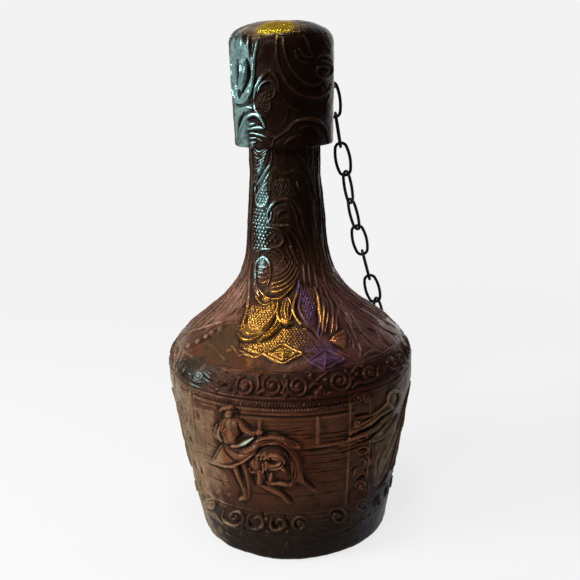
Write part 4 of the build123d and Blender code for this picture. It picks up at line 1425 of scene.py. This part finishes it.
def leather_material(name, tone, worn_tone, tints_and_sheens, gloss, night_from=0.0):
    """Dark leather with worn crests, dirty hollows, patches of tint, and patches of painted sheen, glints and
    coloured reflections, some of them shining like metal
    """
    material, tree, output, position = new_material(name)
    grain = place_group(tree, leather_grain, Position=position, **LEATHER_GRAIN)
    wear = place_group(tree, crest_and_hollow, Mottle=grain["Mottle"])
    height = split(tree, position)[2]
    raised = add_node(tree, "Attribute", attribute_name="relief").outputs["Fac"]
    colour = blend(tree, calc(tree, "MULTIPLY", grain["Mottle"], MOTTLE_SHARE), tone, shaded(tone))
    colour = blend(tree, spread(tree, raised, *RAISED_RANGE), colour, shaded(worn_tone, RAISED_TONE))
    colour = blend(tree, calc(tree, "MULTIPLY", wear["Worn"], WORN_SHARE), colour, worn_tone)
    if night_from:
        dark = blend(tree, calc(tree, "MULTIPLY", wear["Worn"], NIGHT_WORN_SHARE), NIGHT_BROWN, WORN_NIGHT)
        low, high = (night_from - NIGHT_BELOW) * MM, (night_from + NIGHT_ABOVE) * MM
        night = spread(tree, height, low, high, 0.0, NIGHT_SHARE)
        foot = spread(tree, height, FOOT_START * MM, FOOT_FULL * MM, 0.0, FOOT_SHARE)
        colour = blend(tree, foot, blend(tree, night, colour, dark), FOOT_DARK)
    metal = 0.0
    # The patches lay tints, and painted sheen, glints and coloured reflections, over the colour; the painted
    # reflections are made metallic too
    for azimuth, reach, middle, half_height, patch_tone, amount, fill, shine in tints_and_sheens:
        mask = patch(tree, position, azimuth, reach, middle, half_height)
        rubbed = calc(tree, "ADD", calc(tree, "ADD", mask, wear["Worn"]), fill - 1)
        inside = calc(tree, "MULTIPLY", spread(tree, mask, 0.0, PATCH_EDGE), amount)
        mask = calc(tree, "MULTIPLY", spread(tree, rubbed, 0.0, PATCH_CRESTS), inside)
        broken = blend(tree, calc(tree, "MULTIPLY", grain["Mottle"], PATCH_MOTTLE), patch_tone, shaded(patch_tone))
        colour = blend(tree, mask, colour, broken)
        metal = calc(tree, "ADD", calc(tree, "MULTIPLY", metal, calc(tree, "SUBTRACT", 1.0, mask)),
                     calc(tree, "MULTIPLY", mask, shine))
    colour = blend(tree, calc(tree, "MULTIPLY", wear["Dirt"], DIRT_SHARE), colour, DIRT)
    metal = calc(tree, "MULTIPLY", metal, calc(tree, "SUBTRACT", 1.0, wear["Dirt"]))
    rough = calc(tree, "ADD", calc(tree, "MULTIPLY", wear["Dirt"], DIRT_ROUGH),
                 calc(tree, "ADD", calc(tree, "MULTIPLY", grain["Mottle"], MOTTLE_ROUGH), ROUGH))
    rough = calc(tree, "SUBTRACT", rough, calc(tree, "MULTIPLY", metal, SHEEN_SMOOTH))
    bump = add_node(tree, "Bump", {"Height": grain["Height"], **LEATHER_BUMP})
    finish_surface(tree, output, {
        "Base Color": colour, "Roughness": rough, "Metallic": metal, "Normal": bump.outputs[0],
        "Specular IOR Level": gloss, "Specular Tint": WARM_SHINE,
    })
    return material


# Each patch, a tint or painted light: azimuth, reach, height, half height, colour, amount, share that fills
# the ground, shine
# Painted light among these: olive tan, pink tan and panel tan are painted sheen on lit sides; gold, violet,
# plum, indigo, grey green and teal painted reflections; ember, copper, pale green painted glints. Olive dark,
# cape red, dark red and band dark are tints
BODY_TINTS_AND_SHEENS = [
    (-165, 40, 50, 75, OLIVE_SHEEN, 0.85, 0.6, 0.0),
    (-152, 24, 128, 14, PINK_SHEEN, 0.5, 0.6, 0.0),
    (-139, 14, 60, 34, PANEL_PAINTED_LIGHT_TAN, 0.45, 0.9, 0.0),
    (-132, 14, 113, 8, OLIVE_DARK, 0.75, 0.8, 0.0),
    (-42, 12, 112, 9, OLIVE_DARK, 0.6, 0.9, 0.0),
    (-36, 15, 62, 30, OLIVE_SHEEN, 0.85, 0.5, 0.0),
    (-46, 44, 118, 26, PLUM_SHEEN, 0.72, 0.85, 0.0),
    (-28, 22, 14, 22, INDIGO_REFLECTION, 0.7, 0.9, 0.0),
    (-94, 14, 73, 6, CAPE_RED, 0.7, 0.85, 0.0),
    (-85.5, 7, 58, 13, CAPE_RED, 0.6, 0.8, 0.0),
    (-72, 13, 110, 7.5, VIOLET_REFLECTION, 0.58, 0.4, 0.4),
    (-74, 8, 129, 15, VIOLET_REFLECTION, 0.8, 0.25, 0.5),
    (-105, 24, 122, 18, GOLD_REFLECTION, 1.0, 0.42, 0.8),
    (-97, 7, 113, 3, GOLD_REFLECTION, 0.9, 0.85, 0.7),
    (-64, 6, 125, 13, EMBER_GLINT, 0.8, 0.0, 0.8),
    (-60.5, 5, 115, 6, COPPER_GLINT, 0.8, 0.25, 0.8),
    (-75, 85, 98.5, 8, DARK_RED, 0.95, 0.9, 0.0),
    (-141, 15, 100, 7, BAND_DARK, 0.75, 0.85, 0.0),
    (-137, 9, 99.5, 4.2, GREY_GREEN_REFLECTION, 0.75, 0.2, 0.35),
    (-110.5, 5, 72, 3.5, PALE_GREEN_GLINT, 0.4, 0.0, 0.4),
    (-128.5, 15, 181, 40, TEAL_REFLECTION, 0.9, 0.28, 0.6),
    (-126.5, 6, 148, 7, TEAL_REFLECTION, 0.7, 0.5, 0.5),
]
# All the cap's patches are painted light: a teal reflection on the left, olive tan sheen and a lemon gold
# reflection on the crown
CAP_PAINTED_SHEENS = [
    (-146, 29, 231, 46, TEAL_REFLECTION, 0.95, 0.36, 0.65),
    (-104, 64, 264, 8, OLIVE_SHEEN, 0.85, 0.95, 0.0),
    (-95, 33, 261.4, 4.6, LEMON_GOLD_REFLECTION, 1.0, 0.72, 0.9),
]


# Plain finishes: plates to a mottle, and how much speckle, roughness by mottle and bump they have
PLATES_TO_MOTTLE = 12
SPECKLE_SHARE = 0.5
PLAIN_ROUGH = 0.15
PLAIN_BUMP = 0.4
WOOD_STRETCH = (1, 1, 0.12)
# Glass: two greens, size of its plates and mottle, roughness and what mottle adds, refraction and bump
GLASS_GREEN, GLASS_DEEP = (0.10, 0.26, 0.13), (0.06, 0.18, 0.09)
GLASS_GRAIN = {"Plate_Scale": 180.0, "Mottle_Scale": 25.0}
GLASS_ROUGH, GLASS_MOTTLE_ROUGH = 0.03, 0.05
GLASS_IOR = 1.5
GLASS_BUMP = {"Strength": 0.08, "Distance": 0.0003}


def plain_material(name, tone, second, scale, roughness, depth, stretch=(1, 1, 1), specular=0.5):
    """A finish of two mottled tones over a fine grain"""
    material, tree, output, position = new_material(name)
    position = add_node(tree, "Mapping", {"Vector": position, "Scale": stretch}).outputs[0]
    sizes = {"Plate_Scale": scale, "Mottle_Scale": scale / PLATES_TO_MOTTLE}
    grain = place_group(tree, leather_grain, Position=position, **sizes)
    colour = blend(tree, grain["Mottle"], tone, second)
    colour = blend(tree, calc(tree, "MULTIPLY", grain["Speckle"], SPECKLE_SHARE), colour, shaded(second))
    rough = calc(tree, "ADD", calc(tree, "MULTIPLY", grain["Mottle"], PLAIN_ROUGH), roughness)
    bump = add_node(tree, "Bump", {"Height": grain["Height"], "Strength": PLAIN_BUMP, "Distance": depth})
    finish_surface(tree, output, {
        "Base Color": colour, "Roughness": rough, "Metallic": 0.0, "Normal": bump.outputs[0],
        "Specular IOR Level": specular,
    })
    return material


def glass_material(name):
    """Dark green bottle glass with faint streaks"""
    material, tree, output, position = new_material(name)
    grain = place_group(tree, leather_grain, Position=position, **GLASS_GRAIN)
    colour = blend(tree, grain["Mottle"], GLASS_GREEN, GLASS_DEEP)
    rough = calc(tree, "ADD", calc(tree, "MULTIPLY", grain["Mottle"], GLASS_MOTTLE_ROUGH), GLASS_ROUGH)
    bump = add_node(tree, "Bump", {"Height": grain["Height"], **GLASS_BUMP})
    finish_surface(tree, output, {
        "Base Color": colour, "Roughness": rough, "Normal": bump.outputs[0],
        "Metallic": 0.0, "Transmission Weight": 1.0, "IOR": GLASS_IOR,
    })
    return material


# Height in mm round which the body's leather turns dark
NECK_START = 150
body_leather_tints_and_painted_sheen = leather_material(
    "body_leather_tints_and_painted_sheen", BROWN, WORN_BROWN, BODY_TINTS_AND_SHEENS, BODY_SHINE, night_from=NECK_START)
cap_leather_painted_sheen = leather_material("cap_leather_painted_sheen", NIGHT_BROWN, WORN_NIGHT, CAP_PAINTED_SHEENS, CAP_SHINE)
# Each plain finish: name, two tones, size of the plates, roughness, depth of the grain in m
dark_leather = plain_material(
    "plain_dark_leather", (0.02, 0.010, 0.006), (0.035, 0.018, 0.010), 900, 0.5, 0.0002)
cork = plain_material("pressed_cork", (0.42, 0.25, 0.13), (0.30, 0.17, 0.085), 420, 0.75, 0.0005)
beech = plain_material(
    "turned_beech", (0.36, 0.22, 0.12), (0.28, 0.16, 0.08), 300, 0.6, 0.0003, stretch=WOOD_STRETCH)
wire = plain_material(
    "blackened_wire", (0.0022, 0.0025, 0.0030), (0.0050, 0.0050, 0.0056), 700, 0.45, 0.00008, specular=0.22)
glass = glass_material("dark_green_glass")
lining = plain_material(
    "cap_lining_leather", (0.012, 0.007, 0.005), (0.02, 0.011, 0.008), 1200, 0.45, 0.0002)
for piece, body, replaced, finish in [
    (jacket, "bottle", "body_leather", body_leather_tints_and_painted_sheen),
    (shoulder, "bottle", "shoulder_leather", body_leather_tints_and_painted_sheen),
    (cap_skin, "cap", "cap_side_leather", cap_leather_painted_sheen),
    (cap_crown, "cap", "cap_top_leather", cap_leather_painted_sheen),
]:
    piece.data.materials.append(finish)
    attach(piece, body)
    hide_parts(replaced)

NODE_FINISHES = {
    "glass_bottle": glass,
    "base_leather": dark_leather,
    "cap_core": beech,
    "cap_bottom_leather": lining,
    "cork_stopper": cork,
    "cap_staple": wire,
    "jacket_staple": wire,
}
for name, node in nodes.items():
    finish = wire if name.startswith("chain_link") else NODE_FINISHES.get(name)
    if finish:
        node.data.materials.clear()
        node.data.materials.append(finish)


# Studio: pale floor and background, soft lamps. Distances are in m
PALE = 0.896
FLOOR_TONE = 0.65
FLOOR_RADIUS = 0.75
FLOOR_CORNERS = 120
SHADOW_SHARE = 0.12
SHADOW_START, SHADOW_END = 0.25, 0.9
ROOM_LIGHT = 0.14
# What a shiny surface sees of the floor and the room, from the front to the back
FLOOR_SEEN = (-0.35, 0.30, 0.08, 1.0)
ROOM_SEEN = (0.0, 1.0, 0.04, 0.8)
LAMP_TARGET = Vector((0, 0, 0.13))


def seen_rays(tree):
    """Masks of rays that show the background: from the camera or through glass, and off a shiny surface"""
    path = add_node(tree, "LightPath").outputs
    return calc(tree, "MAXIMUM", path["Is Camera Ray"], path["Is Transmission Ray"]), path["Is Glossy Ray"]


def pale_floor():
    """A round floor that keeps the object's shadow and fades into the background at its rim"""
    data = bpy.data.meshes.new("studio_floor")
    turn = np.arange(FLOOR_CORNERS) * 2 * math.pi / FLOOR_CORNERS
    ring_points = [(FLOOR_RADIUS * math.cos(a), FLOOR_RADIUS * math.sin(a), 0) for a in turn]
    data.from_pydata(ring_points, [], [list(range(len(ring_points)))])
    floor = bpy.data.objects.new("studio_floor", data)
    bpy.context.scene.collection.objects.link(floor)
    material, tree, output, position = new_material("pale_floor")
    away = add_node(tree, "VectorMath", {0: position}, operation="LENGTH").outputs["Value"]
    plain = spread(tree, away, SHADOW_START, SHADOW_END * FLOOR_RADIUS, 1 - SHADOW_SHARE, 1.0)
    direct, glossy = seen_rays(tree)
    back = spread(tree, split(tree, position)[1], *FLOOR_SEEN)
    share = calc(tree, "MAXIMUM", calc(tree, "MULTIPLY", direct, plain), glossy)
    strength = calc(tree, "ADD", calc(tree, "SUBTRACT", 1.0, glossy), calc(tree, "MULTIPLY", glossy, back))
    matt = add_node(tree, "BsdfDiffuse", {"Color": (FLOOR_TONE, FLOOR_TONE, FLOOR_TONE)})
    glow = add_node(tree, "Emission", {"Color": (PALE, PALE, PALE), "Strength": strength})
    mix = add_node(tree, "MixShader", {0: share, 1: matt.outputs[0], 2: glow.outputs[0]})
    tree.links.new(mix.outputs[0], output.inputs[0])
    data.materials.append(material)


def pale_world():
    """A plain room: pale where it is seen, dimmer in front of the object, and dim light from all round"""
    world = bpy.data.worlds.new("studio")
    world.use_nodes = True
    tree = world.node_tree
    tree.nodes.clear()
    direct, glossy = seen_rays(tree)
    heading = split(tree, add_node(tree, "TexCoord").outputs["Generated"])
    room = spread(tree, heading[1], *ROOM_SEEN)
    seen = calc(tree, "MAXIMUM", direct, calc(tree, "MULTIPLY", glossy, room))
    unseen = calc(tree, "SUBTRACT", 1.0, calc(tree, "MAXIMUM", direct, glossy))
    strength = calc(tree, "ADD", calc(tree, "MULTIPLY", seen, PALE),
                    calc(tree, "MULTIPLY", unseen, ROOM_LIGHT))
    back = add_node(tree, "Background", {"Color": (1, 1, 1), "Strength": strength})
    output = add_node(tree, "OutputWorld")
    tree.links.new(back.outputs[0], output.inputs[0])
    bpy.context.scene.world = world


# Each lamp: name, place and size in m, and power in watts
LAMPS = [
    ("left_lamp", (-0.95, -0.35, 0.50), 0.5, 22),
    ("rear_lamp", (0.45, 1.05, 0.25), 0.8, 1.6),
    ("top_lamp", (-0.05, -0.22, 1.15), 0.30, 8),
    ("front_lamp", (-0.50, -1.05, 0.85), 0.35, 11),
]


def soft_lamps():
    """Round soft lamps that look at the object"""
    for name, place, size, power in LAMPS:
        lamp = bpy.data.lights.new(name, "AREA")
        lamp.shape = "DISK"
        lamp.size = size
        lamp.energy = power
        holder = bpy.data.objects.new(name, lamp)
        holder.location = place
        holder.rotation_euler = (LAMP_TARGET - Vector(place)).to_track_quat("-Z", "Y").to_euler()
        bpy.context.scene.collection.objects.link(holder)


pale_floor()
pale_world()
soft_lamps()
view = bpy.context.scene.view_settings
view.view_transform = "Standard"
